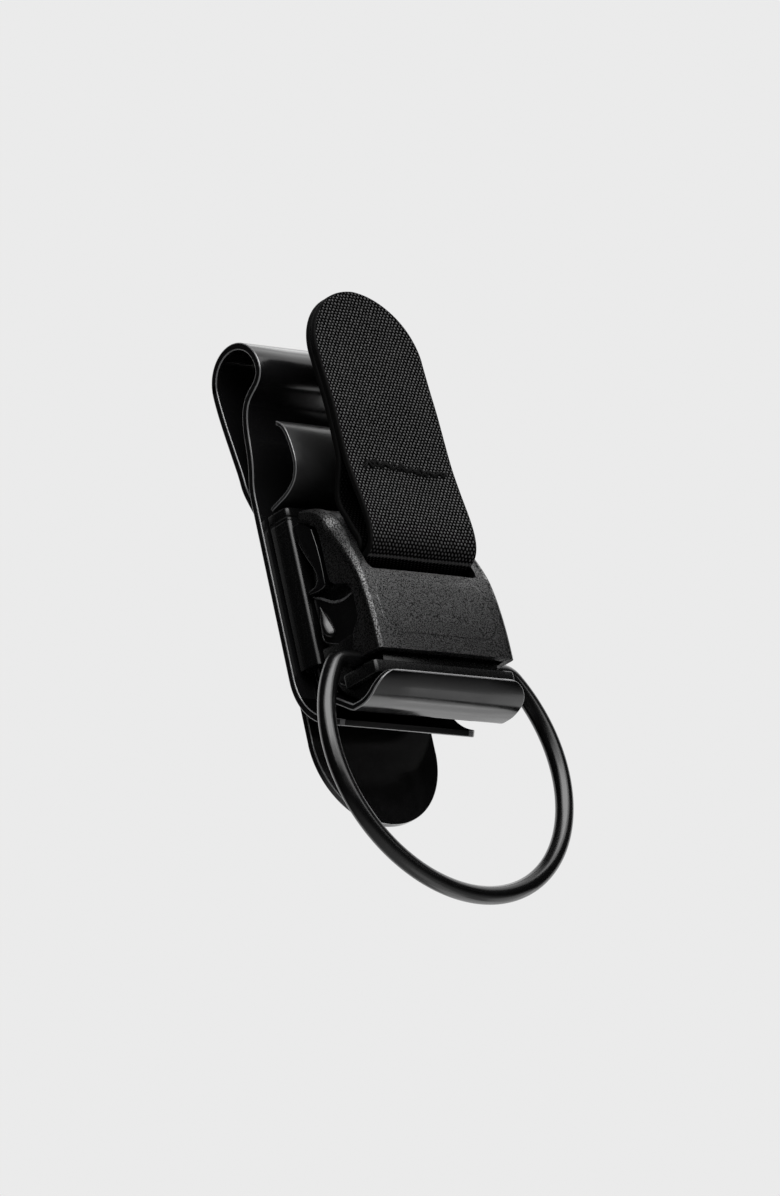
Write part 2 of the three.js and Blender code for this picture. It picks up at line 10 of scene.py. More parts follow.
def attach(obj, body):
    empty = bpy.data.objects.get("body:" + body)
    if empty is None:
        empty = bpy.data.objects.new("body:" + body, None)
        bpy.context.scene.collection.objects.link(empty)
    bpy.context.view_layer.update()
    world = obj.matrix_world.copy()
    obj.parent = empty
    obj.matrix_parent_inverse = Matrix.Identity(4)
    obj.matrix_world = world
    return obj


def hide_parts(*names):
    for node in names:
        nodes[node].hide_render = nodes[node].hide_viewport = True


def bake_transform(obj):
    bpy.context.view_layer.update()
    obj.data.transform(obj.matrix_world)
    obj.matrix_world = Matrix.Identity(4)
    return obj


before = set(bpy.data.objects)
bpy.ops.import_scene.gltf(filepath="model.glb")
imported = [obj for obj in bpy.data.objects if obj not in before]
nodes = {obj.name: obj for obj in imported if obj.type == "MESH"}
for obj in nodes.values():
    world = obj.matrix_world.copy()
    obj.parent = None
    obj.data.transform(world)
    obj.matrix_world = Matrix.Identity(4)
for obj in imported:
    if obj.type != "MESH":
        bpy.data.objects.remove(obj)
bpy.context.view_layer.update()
MM = 0.001
scene = bpy.context.scene
scene.view_settings.view_transform = "Standard"
scene.view_settings.look = "None"

# ------------------------------------------------------------------ camera
right = Vector((0.7446, -0.6368, -0.2000)).normalized()
back = Vector((-0.6633, -0.6725, -0.3282))
back = (back - right * back.dot(right)).normalized()
up = back.cross(right).normalized()
cam_data = bpy.data.cameras.new("camera")
cam = bpy.data.objects.new("camera", cam_data)
scene.collection.objects.link(cam)
cam_data.sensor_width = 36.0
cam_data.lens = 36.0 * 10000.0 / 1196.0
cam_data.clip_start = 0.05
cam_data.clip_end = 20.0
# the strip's left front edge at (-13.3, -1.0, 0) mm lands at pixel (279.6, 613.0) of the 780 x 1196 frame
depth = 10000.0 / 7.5 * MM
ref = Vector((-13.3, -1.0, 0.0)) * MM
off_r = (279.6 - 390.0) / 10000.0 * depth
off_u = -(613.0 - 598.0) / 10000.0 * depth
cam.matrix_world = Matrix.Translation(ref - right * off_r - up * off_u + back * depth) @ Matrix(
    (
        (right.x, up.x, back.x, 0),
        (right.y, up.y, back.y, 0),
        (right.z, up.z, back.z, 0),
        (0, 0, 0, 1),
    )
)
scene.camera = cam


# ------------------------------------------------------------------ shader helpers
class Net:
    """A small helper to write node trees."""

    def __init__(self, name):
        self.mat = bpy.data.materials.new(name)
        self.mat.use_nodes = True
        self.nt = self.mat.node_tree
        self.b = self.nt.nodes["Principled BSDF"]

    def node(self, kind, **values):
        n = self.nt.nodes.new(kind)
        for k, v in values.items():
            setattr(n, k, v)
        return n

    def link(self, a, b):
        self.nt.links.new(a, b)

    def coords(self, which="Object"):
        return self.node("ShaderNodeTexCoord").outputs[which]

    def scaled(self, vec, s):
        m = self.node("ShaderNodeMapping")
        m.inputs["Scale"].default_value = s if hasattr(s, "__len__") else (s, s, s)
        self.link(vec, m.inputs["Vector"])
        return m.outputs["Vector"]

    def noise(self, vec, scale, detail=2.0, rough=0.5, dist=0.0):
        n = self.node("ShaderNodeTexNoise")
        n.inputs["Scale"].default_value = scale
        n.inputs["Detail"].default_value = detail
        n.inputs["Roughness"].default_value = rough
        n.inputs["Distortion"].default_value = dist
        self.link(vec, n.inputs["Vector"])
        return n.outputs["Fac"]

    def voronoi(self, vec, scale, feature="F1"):
        n = self.node("ShaderNodeTexVoronoi")
        n.feature = feature
        n.inputs["Scale"].default_value = scale
        self.link(vec, n.inputs["Vector"])
        return n.outputs["Distance"]

    def math(self, op, a, b=None, c=None, clamp=False):
        n = self.node("ShaderNodeMath", operation=op)
        n.use_clamp = clamp
        for i, v in enumerate((a, b, c)):
            if v is None:
                continue
            if isinstance(v, (int, float)):
                n.inputs[i].default_value = v
            else:
                self.link(v, n.inputs[i])
        return n.outputs[0]

    def remap(self, v, a, b, c, d):
        n = self.node("ShaderNodeMapRange")
        self.link(v, n.inputs["Value"])
        for k, x in zip(("From Min", "From Max", "To Min", "To Max"), (a, b, c, d)):
            n.inputs[k].default_value = x
        return n.outputs["Result"]

    def mix(self, fac, c1, c2):
        n = self.node("ShaderNodeMix", data_type="RGBA")
        if isinstance(fac, (int, float)):
            n.inputs[0].default_value = fac
        else:
            self.link(fac, n.inputs[0])
        for sock, c in ((n.inputs[6], c1), (n.inputs[7], c2)):
            if isinstance(c, (tuple, list)):
                sock.default_value = (*c[:3], 1)
            else:
                self.link(c, sock)
        return n.outputs[2]

    def bump(self, height, distance, strength=1.0, normal=None):
        n = self.node("ShaderNodeBump")
        n.inputs["Distance"].default_value = distance
        n.inputs["Strength"].default_value = strength
        self.link(height, n.inputs["Height"])
        if normal is not None:
            self.link(normal, n.inputs["Normal"])
        return n.outputs["Normal"]

    def set(self, **kw):
        for k, v in kw.items():
            sock = self.b.inputs[k.replace("_", " ")]
            if isinstance(v, (int, float)):
                sock.default_value = v
            elif isinstance(v, (tuple, list)):
                sock.default_value = (*v[:3], 1) if len(sock.default_value) == 4 else v
            else:
                self.link(v, sock)
        return self


def coated_metal(name, color, rough, rough_var=0.06, peel=0.0000035, spec=0.5, metallic=0.0, coat=0.0, coat_rough=0.1):
    """Smooth black coating on steel: faint orange peel, cloudy roughness and a few dust specks."""
    n = Net(name)
    v = n.coords()
    cloud = n.noise(v, 160.0, 3.0, 0.55)
    fine = n.noise(v, 900.0, 2.0, 0.5)
    peel_h = n.noise(v, 1500.0, 1.5, 0.5)
    speck = n.remap(n.voronoi(v, 420.0), 0.0, 0.035, 1.0, 0.0)
    col = n.mix(cloud, tuple(c * 0.85 for c in color), tuple(c * 1.2 for c in color))
    col = n.mix(n.math("MULTIPLY", speck, 0.25), col, tuple(min(1, c * 3) for c in color))
    r = n.math("ADD", n.remap(cloud, 0.3, 0.7, rough - rough_var, rough + rough_var), n.remap(fine, 0.3, 0.7, -0.02, 0.02))
    n.set(Base_Color=col, Roughness=r, Normal=n.bump(peel_h, peel, 1.0))
    n.b.inputs["Metallic"].default_value = metallic
    n.b.inputs["Specular IOR Level"].default_value = spec
    if coat:
        n.b.inputs["Coat Weight"].default_value = coat
        n.b.inputs["Coat Roughness"].default_value = coat_rough
    return n.mat


def moulded(name, color, rough, grain_mm, grain_depth_mm, rough_var=0.08, grain_top_painted_light=0.25, spec=0.5):
    """Moulded plastic: spark-eroded grain of the given pitch, with painted light on the grain: its tops painted lighter
    and its hollows darker.
    """
    n = Net(name)
    v = n.coords()
    k = 1000.0 / grain_mm
    g1 = n.noise(v, k * 0.62, 2.5, 0.65)
    g2 = n.voronoi(v, k * 0.9)
    h = n.math("ADD", n.math("MULTIPLY", g1, 1.0), n.math("MULTIPLY", g2, -0.45))
    cloud = n.noise(v, 90.0, 2.0, 0.5)
    base = n.mix(cloud, tuple(c * 0.9 for c in color), tuple(c * 1.1 for c in color))
    # painted light: colour follows the grain's height, lighter on top, darker in the hollows
    col = n.mix(n.remap(h, 0.15, 0.55, 0.0, 1.0), tuple(c * (1 - grain_top_painted_light) for c in color), tuple(c * (1 + grain_top_painted_light) for c in color))
    col = n.mix(0.35, col, base)
    r = n.remap(h, 0.1, 0.6, rough + rough_var, rough - rough_var)
    n.set(Base_Color=col, Roughness=r, Normal=n.bump(h, grain_depth_mm * MM, 1.0))
    n.b.inputs["Specular IOR Level"].default_value = spec
    return n


steel = coated_metal("black_strip_coating", (0.0036, 0.0036, 0.0038), 0.17, 0.025, spec=0.5)
bracket_mat = coated_metal("black_bracket_coating", (0.0022, 0.0022, 0.0024), 0.18, 0.03, spec=0.55)
leaf_mat = coated_metal("black_leaf_coating", (0.0110, 0.0110, 0.0112), 0.33, 0.03, spec=0.7)
wire_mat = coated_metal("black_wire_coating", (0.0020, 0.0020, 0.0021), 0.21, 0.03, spec=0.5)
# painted highlight: a much lighter, fully specular finish for the rounded arrises of the metal strips
arris_painted_highlight = coated_metal("painted_highlight_on_arrises", (0.12, 0.12, 0.122), 0.22, 0.05, spec=1.0)
# painted shade: near-black, rough, barely specular finish for the strap's side edges and end caps
strap_edge_painted_shade = coated_metal("painted_shade_strap_edge", (0.0010, 0.0010, 0.0010), 0.75, 0.08, spec=0.08)
# painted shade: matte near-black with no specular, for the inside of the lower lip's bend
lip_painted_shade = coated_metal("painted_shade_inside_of_bend", (0.0010, 0.0010, 0.0010), 0.85, 0.05, spec=0.0)
plain = coated_metal("plain_steel", (0.34, 0.345, 0.36), 0.34, 0.08, metallic=1.0)
nickel = coated_metal("nickel_plate", (0.58, 0.57, 0.55), 0.22, 0.05, metallic=1.0)
smooth_plastic = moulded("satin_moulding", (0.0022, 0.0022, 0.0023), 0.25, 0.30, 0.003, 0.04, 0.10, 0.32).mat
# painted glint: a far lighter, more specular moulding for the small ribs in the buckle's side recess
rib_painted_glint = moulded("painted_glint_rib", (0.060, 0.060, 0.061), 0.25, 0.40, 0.002, 0.04, 0.05, 0.8).mat
gloss_plastic = moulded("glossy_moulding", (0.0024, 0.0024, 0.0026), 0.17, 0.40, 0.002, 0.04, 0.05).mat


def textured_cover(name, dark, grain_painted_highlight, spec, panel):
    """Spark-eroded grain with painted light: each grain's top is painted lighter and its hollows darker, standing in
    for each grain of the skin catching the light on its own.
    """
    n = Net(name)
    v = n.coords()
    g1 = n.noise(v, 5600.0, 1.0, 0.5)
    g2 = n.noise(v, 11000.0, 1.0, 0.5)
    h = n.math("ADD", g1, n.math("MULTIPLY", n.math("SUBTRACT", g2, 0.5), 0.5))
    cloud = n.noise(v, 260.0, 3.0, 0.55)
    # painted highlight and shade: tone follows the grain's bump height
    f = n.remap(h, 0.37, 0.63, 0.0, 1.0)
    col = n.mix(f, dark, grain_painted_highlight)
    col = n.mix(n.math("MULTIPLY", cloud, 0.25), col, tuple((a + b) / 2 for a, b in zip(dark, grain_painted_highlight)))
    nrm = n.bump(h, 0.00003, 1.0)
    if panel:
        # shallow raised field on the front face, with rounded corners
        sep = n.node("ShaderNodeSeparateXYZ")
        n.link(v, sep.inputs[0])
        qx = n.math("SUBTRACT", n.math("ABSOLUTE", sep.outputs[0]), (10.1 - 3.0) * MM)
        qz = n.math("SUBTRACT", n.math("ABSOLUTE", n.math("ADD", sep.outputs[2], 4.6 * MM)), (4.2 - 3.0) * MM)
        mx, mz = n.math("MAXIMUM", qx, 0.0), n.math("MAXIMUM", qz, 0.0)
        out = n.math("SQRT", n.math("ADD", n.math("MULTIPLY", mx, mx), n.math("MULTIPLY", mz, mz)))
        sdf = n.math("ADD", out, n.math("MINIMUM", n.math("MAXIMUM", qx, qz), 0.0))
        edge = n.remap(sdf, 2.93 * MM, 3.07 * MM, 1.0, 0.0)
        nrm = n.bump(edge, 0.000035, 1.0, nrm)
    n.set(Base_Color=col, Roughness=n.remap(h, 0.35, 0.65, 0.42, 0.32), Normal=nrm)
    n.link(n.remap(h, 0.37, 0.63, spec[0], spec[1]), n.b.inputs["Specular IOR Level"])
    return n.mat


cover_mat = textured_cover("sparked_cover", (0.0012, 0.0012, 0.0012), (0.0130, 0.0130, 0.0132), (0.02, 1.0), True)
# painted shade: darker, less specular copy of the grained cover material for its side faces
cover_side_painted_shade = textured_cover("sparked_cover_side_painted_shade", (0.0008, 0.0008, 0.0008), (0.0040, 0.0040, 0.0041), (0.0, 0.35), False)


def weave_material(name, dot, gap, spec, across_mm=0.612, along_mm=0.885, depth_mm=0.10, crease=None):
    """Plain weave: UVs are millimetres across and along the strap. Floats of the warp stand in
    staggered rows over a dark weft."""
    n = Net(name)
    uv = n.coords("UV")
    sep = n.node("ShaderNodeSeparateXYZ")
    n.link(uv, sep.inputs[0])
    wob = n.math("SUBTRACT", n.noise(uv, 0.7, 2.0, 0.5), 0.5)
    wob2 = n.math("SUBTRACT", n.noise(n.scaled(uv, (1.0, 1.0, 1.0)), 2.2, 2.0, 0.5), 0.5)
    u = n.math("ADD", n.math("DIVIDE", sep.outputs[0], across_mm), n.math("ADD", n.math("MULTIPLY", wob, 0.35), n.math("MULTIPLY", wob2, 0.22)))
    v = n.math("ADD", n.math("DIVIDE", sep.outputs[1], along_mm), n.math("ADD", n.math("MULTIPLY", wob, -0.3), n.math("MULTIPLY", wob2, 0.15)))
    cu = n.math("COSINE", n.math("MULTIPLY", u, 2 * math.pi))
    cv = n.math("COSINE", n.math("MULTIPLY", v, 2 * math.pi))
    rows = n.math("COSINE", n.math("MULTIPLY", v, 4 * math.pi))
    c = n.math("ADD", n.math("MULTIPLY", n.math("MULTIPLY", cu, cv), 0.75), n.math("MULTIPLY", rows, 0.25))
    jit = n.noise(uv, 1.9, 2.0, 0.6)
    m = n.remap(c, -0.15, 0.75, 0.0, 1.0)
    m = n.math("MULTIPLY", m, n.remap(jit, 0.3, 0.7, 0.55, 1.25))
    fibre = n.noise(n.scaled(uv, (9.0, 2.0, 1.0)), 2.0, 3.0, 0.6)
    h = n.math("ADD", n.math("MULTIPLY", c, 0.5), n.math("MULTIPLY", fibre, 0.12))
    cloud = n.noise(uv, 0.22, 2.0, 0.5)
    col = n.mix(m, (gap, gap, gap), (dot, dot, dot * 1.01))
    col = n.mix(n.math("MULTIPLY", cloud, 0.3), col, (gap * 2, gap * 2, gap * 2))
    rough = n.remap(c, -0.5, 1.0, 0.9, 0.55)
    sp = n.math("MULTIPLY", m, spec)
    if crease:
        # painted shade: darker and less specular where the strap turns in under itself
        fold_painted_shade = n.remap(sep.outputs[1], crease[1], crease[1] + 2.2, 0.45, 1.0)
        col = n.mix(fold_painted_shade, (gap, gap, gap), col)
        sp = n.math("MULTIPLY", sp, fold_painted_shade)
        # a pressed fold line: smoother and more specular, with a painted highlight lightening its colour
        fold_shine_and_painted_highlight = n.math("MULTIPLY", n.remap(sep.outputs[1], crease[0], crease[0] + 0.12, 0.0, 1.0), n.remap(sep.outputs[1], crease[1], crease[1] + 0.12, 1.0, 0.0))
        col = n.mix(n.math("MULTIPLY", fold_shine_and_painted_highlight, 0.8), col, (0.030, 0.030, 0.030))
        rough = n.math("SUBTRACT", rough, n.math("MULTIPLY", fold_shine_and_painted_highlight, 0.35))
        sp = n.math("ADD", sp, n.math("MULTIPLY", fold_shine_and_painted_highlight, 0.6))
    n.set(Base_Color=col, Roughness=rough, Normal=n.bump(h, depth_mm * MM, 1.0))
    n.link(sp, n.b.inputs["Specular IOR Level"])
    return n.mat


weave = weave_material("black_webbing", 0.036, 0.0006, 0.85, crease=(2.70, 3.05))
# painted shade: a much darker, less specular copy of the webbing for the rear ply, which lies in the front ply's shade
weave_painted_shade = weave_material("black_webbing_painted_shade", 0.0030, 0.0004, 0.12)


def thread_material():
    n = Net("sewing_thread")
    v = n.coords("UV")
    w = n.node("ShaderNodeTexWave")
    w.bands_direction = "DIAGONAL"
    w.inputs["Scale"].default_value = 2.2
    w.inputs["Distortion"].default_value = 0.4
    n.link(v, w.inputs["Vector"])
    col = n.mix(w.outputs["Fac"], (0.0003, 0.0003, 0.0003), (0.0040, 0.0040, 0.0040))
    n.set(Base_Color=col, Roughness=n.remap(w.outputs["Fac"], 0, 1, 0.85, 0.6), Normal=n.bump(w.outputs["Fac"], 0.00004))
    n.b.inputs["Specular IOR Level"].default_value = 0.10
    return n.mat


thread_mat = thread_material()


# ------------------------------------------------------------------ mesh helpers (millimetres in, metres out)
def finish_mesh(me, sharp_deg=38.0):
    bm = bmesh.new()
    bm.from_mesh(me)
    bmesh.ops.remove_doubles(bm, verts=bm.verts, dist=1e-7)
    bmesh.ops.recalc_face_normals(bm, faces=bm.faces)
    lim = math.radians(sharp_deg)
    for f in bm.faces:
        f.smooth = True
    for e in bm.edges:
        if len(e.link_faces) == 2:
            e.smooth = e.calc_face_angle(0.0) < lim
    bm.to_mesh(me)
    bm.free()
    me.update()


def obj_from(name, verts, faces, mat, uvs=None, sharp=38.0, finish=True):
    me = bpy.data.meshes.new(name)
    me.from_pydata([tuple(c * MM for c in v) for v in verts], [], [tuple(f) for f in faces])
    if uvs is not None:
        layer = me.uv_layers.new(name="UVMap")
        for poly in me.polygons:
            for li in poly.loop_indices:
                layer.data[li].uv = uvs[me.loops[li].vertex_index]
    o = bpy.data.objects.new(name, me)
    scene.collection.objects.link(o)
    if mat is not None:
        me.materials.append(mat)
    if finish:
        finish_mesh(me, sharp)
    return o


def apply_mods(o):
    """Replaces the mesh by its modified self, and drops the modifiers."""
    dg = bpy.context.evaluated_depsgraph_get()
    me = bpy.data.meshes.new_from_object(o.evaluated_get(dg))
    old = o.data
    o.modifiers.clear()
    o.data = me
    bpy.data.meshes.remove(old)
    return o


def bevel(o, width, segments=3, angle=28.0):
    m = o.modifiers.new("bevel", "BEVEL")
    m.width = width * MM
    m.segments = segments
    m.limit_method = "ANGLE"
    m.angle_limit = math.radians(angle)
    m.use_clamp_overlap = True
    m.miter_outer = "MITER_ARC"
    apply_mods(o)
    return o


def boolean(o, tool, op="DIFFERENCE"):
    m = o.modifiers.new("bool", "BOOLEAN")
    m.operation = op
    m.solver = "MANIFOLD"
    m.material_mode = "TRANSFER"
    m.object = tool
    apply_mods(o)
    bpy.data.objects.remove(tool)
    return o


def clean(o, sharp=38.0):
    finish_mesh(o.data, sharp)
    return o


def prism(name, poly, a0, a1, axis="X", mat=None, bev=0.0, segs=3):
    """n-gon pushed along an axis. axis X: poly is (y, z); axis Y: (x, z); axis Z: (x, y)."""
    def p(u, v, w):
        return {"X": (w, u, v), "Y": (u, w, v), "Z": (u, v, w)}[axis]

    n = len(poly)
    verts = [p(u, v, a0) for u, v in poly] + [p(u, v, a1) for u, v in poly]
    faces = [list(range(n))[::-1], list(range(n, 2 * n))]
    faces += [[i, (i + 1) % n, n + (i + 1) % n, n + i] for i in range(n)]
    o = obj_from(name, verts, faces, mat, finish=False)
    bm = bmesh.new()
    bm.from_mesh(o.data)
    bmesh.ops.recalc_face_normals(bm, faces=bm.faces)
    bm.to_mesh(o.data)
    bm.free()
    if bev:
        bevel(o, bev, segs)
    return o


def arc(cy, cz, r, a0, a1, n):
    return [(cy + r * math.cos(math.radians(a0 + (a1 - a0) * i / n)), cz + r * math.sin(math.radians(a0 + (a1 - a0) * i / n))) for i in range(n + 1)]


def rounded_poly(points, radii, n=6):
    """Rounds the corners of a polygon with arcs of the given radii (one number, or one per corner)."""
    out = []
    m = len(points)
    for i in range(m):
        p = np.array(points[i], float)
        a = np.array(points[i - 1], float)
        b = np.array(points[(i + 1) % m], float)
        r = radii if isinstance(radii, (int, float)) else radii[i]
        u, v = a - p, b - p
        lu, lv = np.linalg.norm(u), np.linalg.norm(v)
        u, v = u / lu, v / lv
        ang = math.acos(max(-1, min(1, float(u @ v))))
        if r <= 0 or ang > math.radians(172):
            out.append(tuple(p))
            continue
        d = min(r / math.tan(ang / 2), lu * 0.49, lv * 0.49)
        rr = d * math.tan(ang / 2)
        c = p + (u + v) / np.linalg.norm(u + v) * (rr / math.sin(ang / 2))
        s, e = p + u * d, p + v * d
        a0 = math.atan2(*(s - c)[::-1])
        a1 = math.atan2(*(e - c)[::-1])
        da = (a1 - a0 + math.pi) % (2 * math.pi) - math.pi
        for k in range(n + 1):
            t = a0 + da * k / n
            out.append((c[0] + rr * math.cos(t), c[1] + rr * math.sin(t)))
    return out


def resample(line, ds, smooth=0):
    """Catmull-Rom through the points, then even steps; optional smoothing that keeps the ends."""
    p = np.array(line, float)
    ext = np.vstack([2 * p[0] - p[1], p, 2 * p[-1] - p[-2]])
    fine = []
    for i in range(1, len(ext) - 2):
        p0, p1, p2, p3 = ext[i - 1 : i + 3]
        for t in np.linspace(0, 1, 24, endpoint=False):
            fine.append(0.5 * ((2 * p1) + (-p0 + p2) * t + (2 * p0 - 5 * p1 + 4 * p2 - p3) * t * t + (-p0 + 3 * p1 - 3 * p2 + p3) * t**3))
    fine.append(p[-1])
    fine = np.array(fine)
    d = np.r_[0, np.cumsum(np.linalg.norm(np.diff(fine, axis=0), axis=1))]
    n = max(int(round(d[-1] / ds)), 2)
    s = np.linspace(0, d[-1], n + 1)
    q = np.stack([np.interp(s, d, fine[:, k]) for k in range(fine.shape[1])], 1)
    for _ in range(smooth):
        q[1:-1] = 0.25 * q[:-2] + 0.5 * q[1:-1] + 0.25 * q[2:]
    return q


def frames2d(q):
    t = np.gradient(q, axis=0)
    t /= np.linalg.norm(t, axis=1)[:, None]
    return t, np.stack([-t[:, 1], t[:, 0]], 1)


def strip(name, line, w_of_s, thick, mat, edge=0.2, ecorner=4, ncol=6, stations=None, dense_line=True, lift=None, ds=0.4, smooth=0, sharp=38.0, uv0=0.0,
          edge_mat=None, shift=None, end_arris=0.0):
    """A bent strip: (y, z) centre line, half width as a function of length, thickness, rounded edges.
    UVs are millimetres across and along."""
    q = resample(line, ds, smooth) if dense_line else np.array(line, float)
    s = np.r_[0, np.cumsum(np.linalg.norm(np.diff(q, axis=0), axis=1))]
    if stations is not None:
        st = np.unique(np.round(np.clip(np.concatenate([s, np.asarray(stations(s[-1]), float)]), 0, s[-1]), 5))
        q = np.stack([np.interp(st, s, q[:, k]) for k in range(2)], 1)
        s = st
    t, nrm = frames2d(q)
    total = s[-1]
    verts, uvs, faces = [], [], []
    loop_n = None
    th = thick if callable(thick) else (lambda x, L: thick)
    for i in range(len(q)):
        w = w_of_s(s[i], total)
        h = th(s[i], total) / 2
        e = min(edge, h * 0.95, w * 0.6)
        cols = np.linspace(-(w - e), w - e, ncol + 1)
        sec = [(x, h) for x in cols]
        sec += [(w - e + e * math.sin(a), h - e + e * math.cos(a)) for a in np.linspace(0, math.pi / 2, ecorner + 1)[1:]]
        sec += [(w - e + e * math.cos(a), -h + e - e * math.sin(a)) for a in np.linspace(0, math.pi / 2, ecorner + 1)]
        sec += [(x, -h) for x in cols[::-1][1:]]
        sec += [(-(w - e) - e * math.sin(a), -h + e - e * math.cos(a)) for a in np.linspace(0, math.pi / 2, ecorner + 1)[1:]]
        sec += [(-(w - e) - e * math.cos(a), h - e + e * math.sin(a)) for a in np.linspace(0, math.pi / 2, ecorner + 1)[:-1]]
        loop_n = len(sec)
        for x, d in sec:
            extra = lift(x, s[i], total) if lift else 0.0
            y = q[i, 0] + nrm[i, 0] * (d + extra)
            z = q[i, 1] + nrm[i, 1] * (d + extra)
            verts.append((x + (shift(s[i], total) if shift else 0.0), y, z))
            uvs.append((x, s[i] + uv0))
    n = loop_n
    for i in range(len(q) - 1):
        for k in range(n):
            a, b = i * n + k, i * n + (k + 1) % n
            faces.append((a, b, b + n, a + n))
    faces.append(tuple(range(n))[::-1])
    faces.append(tuple(range((len(q) - 1) * n, len(q) * n)))
    o = obj_from(name, verts, faces, mat, uvs, sharp=sharp, finish=False)
    if edge_mat is not None:
        # the arrises, and every face within end_arris of the end, get the edge material, a painted highlight; the
        # strap's edge material instead paints shade on its whole side edges and end caps
        o.data.materials.append(edge_mat)
        c, e = ncol, ecorner
        bands = [(c, c + e), (c + e + 1, c + 2 * e + 1), (2 * c + 2 * e + 1, 2 * c + 3 * e + 1), (2 * c + 3 * e + 2, n)]
        if edge_mat is strap_edge_painted_shade:
            bands = [(c, c + 2 * e + 1), (2 * c + 2 * e + 1, n)]
        for f in o.data.polygons[: (len(q) - 1) * n]:
            k = f.index % n
            if any(a <= k < b for a, b in bands) or s[f.index // n] > total - end_arris:
                f.material_index = 1
        for f in o.data.polygons[(len(q) - 1) * n:]:
            if edge_mat is strap_edge_painted_shade:
                f.material_index = 1
    finish_mesh(o.data, sharp)
    return o


def corner_width(w, r, at_end=True, at_start=False, w_start=None):
    """Half width of a strip whose end corners are rounded by r."""
    def f(s, L):
        out = w
        if at_end:
            d = L - s
            if d < r:
                out = min(out, w - r + math.sqrt(max(r * r - (r - d) ** 2, 0.0)))
        if at_start:
            if s < r:
                out = min(out, w - r + math.sqrt(max(r * r - (r - s) ** 2, 0.0)))
        return out
    return f


def end_stations(r, n=10, at_start=False):
    def f(L):
        a = np.linspace(0, math.pi / 2, n)
        out = list(L - r + r * np.sin(a))
        if at_start:
            out += list(r - r * np.sin(a))
        return out
    return f


def tube(name, pts, radius, mat, sides=20, closed=False, taper=None):
    """Round wire through 3-D points (mm)."""
    p = np.array(pts, float)
    n = len(p)
    if closed:
        t = np.roll(p, -1, 0) - np.roll(p, 1, 0)
    else:
        t = np.gradient(p, axis=0)
    t /= np.linalg.norm(t, axis=1)[:, None]
    verts, faces, uvs = [], [], []
    ref_v = np.array([0.31, 0.52, 0.79])
    u = np.cross(t[0], ref_v)
    u /= np.linalg.norm(u)
    s = 0.0
    for i in range(n):
        u = u - t[i] * (u @ t[i])
        u /= np.linalg.norm(u)
        v = np.cross(t[i], u)
        r = radius * (taper(i / (n - 1)) if taper else 1.0)
        if i:
            s += float(np.linalg.norm(p[i] - p[i - 1]))
        for k in range(sides):
            a = 2 * math.pi * k / sides
            c = p[i] + r * (math.cos(a) * u + math.sin(a) * v)
            verts.append(tuple(c))
            uvs.append((k / sides * 2 * math.pi * radius, s))
    rings = n if closed else n - 1
    for i in range(rings):
        j = (i + 1) % n
        for k in range(sides):
            m = (k + 1) % sides
            faces.append((i * sides + k, i * sides + m, j * sides + m, j * sides + k))
    if not closed:
        faces.append(tuple(range(sides))[::-1])
        faces.append(tuple(range((n - 1) * sides, n * sides)))
    return obj_from(name, verts, faces, mat, uvs)


# ------------------------------------------------------------------ spring strip: front plate, loop and lower lip
LOOP = (-2.1, 33.45)
shoulder = [
    (-6.64, 32.75), (-6.25, 32.05), (-5.55, 31.42), (-4.55, 30.84), (-3.6, 30.22), (-2.9, 29.48), (-2.40, 28.5), (-2.05, 27.3), (-1.84, 26.0),
    (-1.72, 24.6), (-1.62, 23.2), (-1.48, 21.9), (-1.25, 20.7), (-0.95, 19.6), (-0.68, 18.6), (-0.54, 17.6), (-0.5, 16.5)]
front_line = arc(*LOOP, 4.6, 0.0, 176.0, 34) + shoulder
front_line = np.vstack([resample(front_line, 0.35, 6), [(-0.5, z) for z in np.linspace(16.0, -9.2, 26)], arc(-9.0, -9.51, 8.5, 0.0, -64.0, 30),
                        [(-5.27 - 1.33 * t, -17.15 - 0.65 * t) for t in np.linspace(0.2, 1.0, 5)]])
plate_o = strip(
    "clip_strip_front", front_line, corner_width(13.3, 2.2), lambda s, L: 1.0 - 0.24 * max(1 - (L - s) / 0.2, 0.0) ** 2, steel, edge=0.15, ecorner=4, ncol=4, edge_mat=arris_painted_highlight,
    stations=lambda L: end_stations(2.2)(L) + list(L - np.array([0.2, 0.13, 0.07, 0.03])), dense_line=False, end_arris=0.14)
plate_o.data.materials.append(lip_painted_shade)
# painted shade on the upward-facing inside of the lower lip's bend
for f in plate_o.data.polygons:
    if f.center.z < -0.0125 and f.normal.z > 0.15 and f.normal.y < 0.0 and abs(f.normal.x) < 0.5:
        f.material_index = 2
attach(plate_o, "clip")
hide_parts("clip_plate")

tongue_line = [
    (2.40, 34.41), (2.475, 33.93), (2.5, 33.45), (2.49, 32.9), (2.42, 31.6), (2.22, 29.6), (1.93, 27.4), (1.6, 25.2), (1.27, 23.0), (1.02, 21.4), (0.87, 20.2), (0.81, 19.0),
    (0.8, 17.5)]
tongue_line = np.vstack([resample(tongue_line, 0.4, 4), [(0.8, z) for z in np.linspace(16.5, -28.9, 64)]])


def tongue_w(s, L):
    d = L - s
    w = 11.1
    if d < 11.1:
        w = math.sqrt(max(11.1**2 - (11.1 - d) ** 2, 0.0)) + 0.02
    z = d - 28.9
    if z > 12.0:
        t = min((z - 12.0) / 7.5, 1.0)
        t = t * t * (3 - 2 * t)
        w = 11.1 + t * 2.2
    return w


tongue_o = strip(
    "clip_strip_tongue", tongue_line, tongue_w, lambda s, L: 0.97 if s < 0.9 else 1.0, steel, edge=0.15, ecorner=4, ncol=4, edge_mat=arris_painted_highlight,
    stations=lambda L: list(L - 11.1 + 11.1 * np.sin(np.linspace(0, math.pi / 2, 40))), dense_line=False)
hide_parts("clip_tongue")
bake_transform(tongue_o)

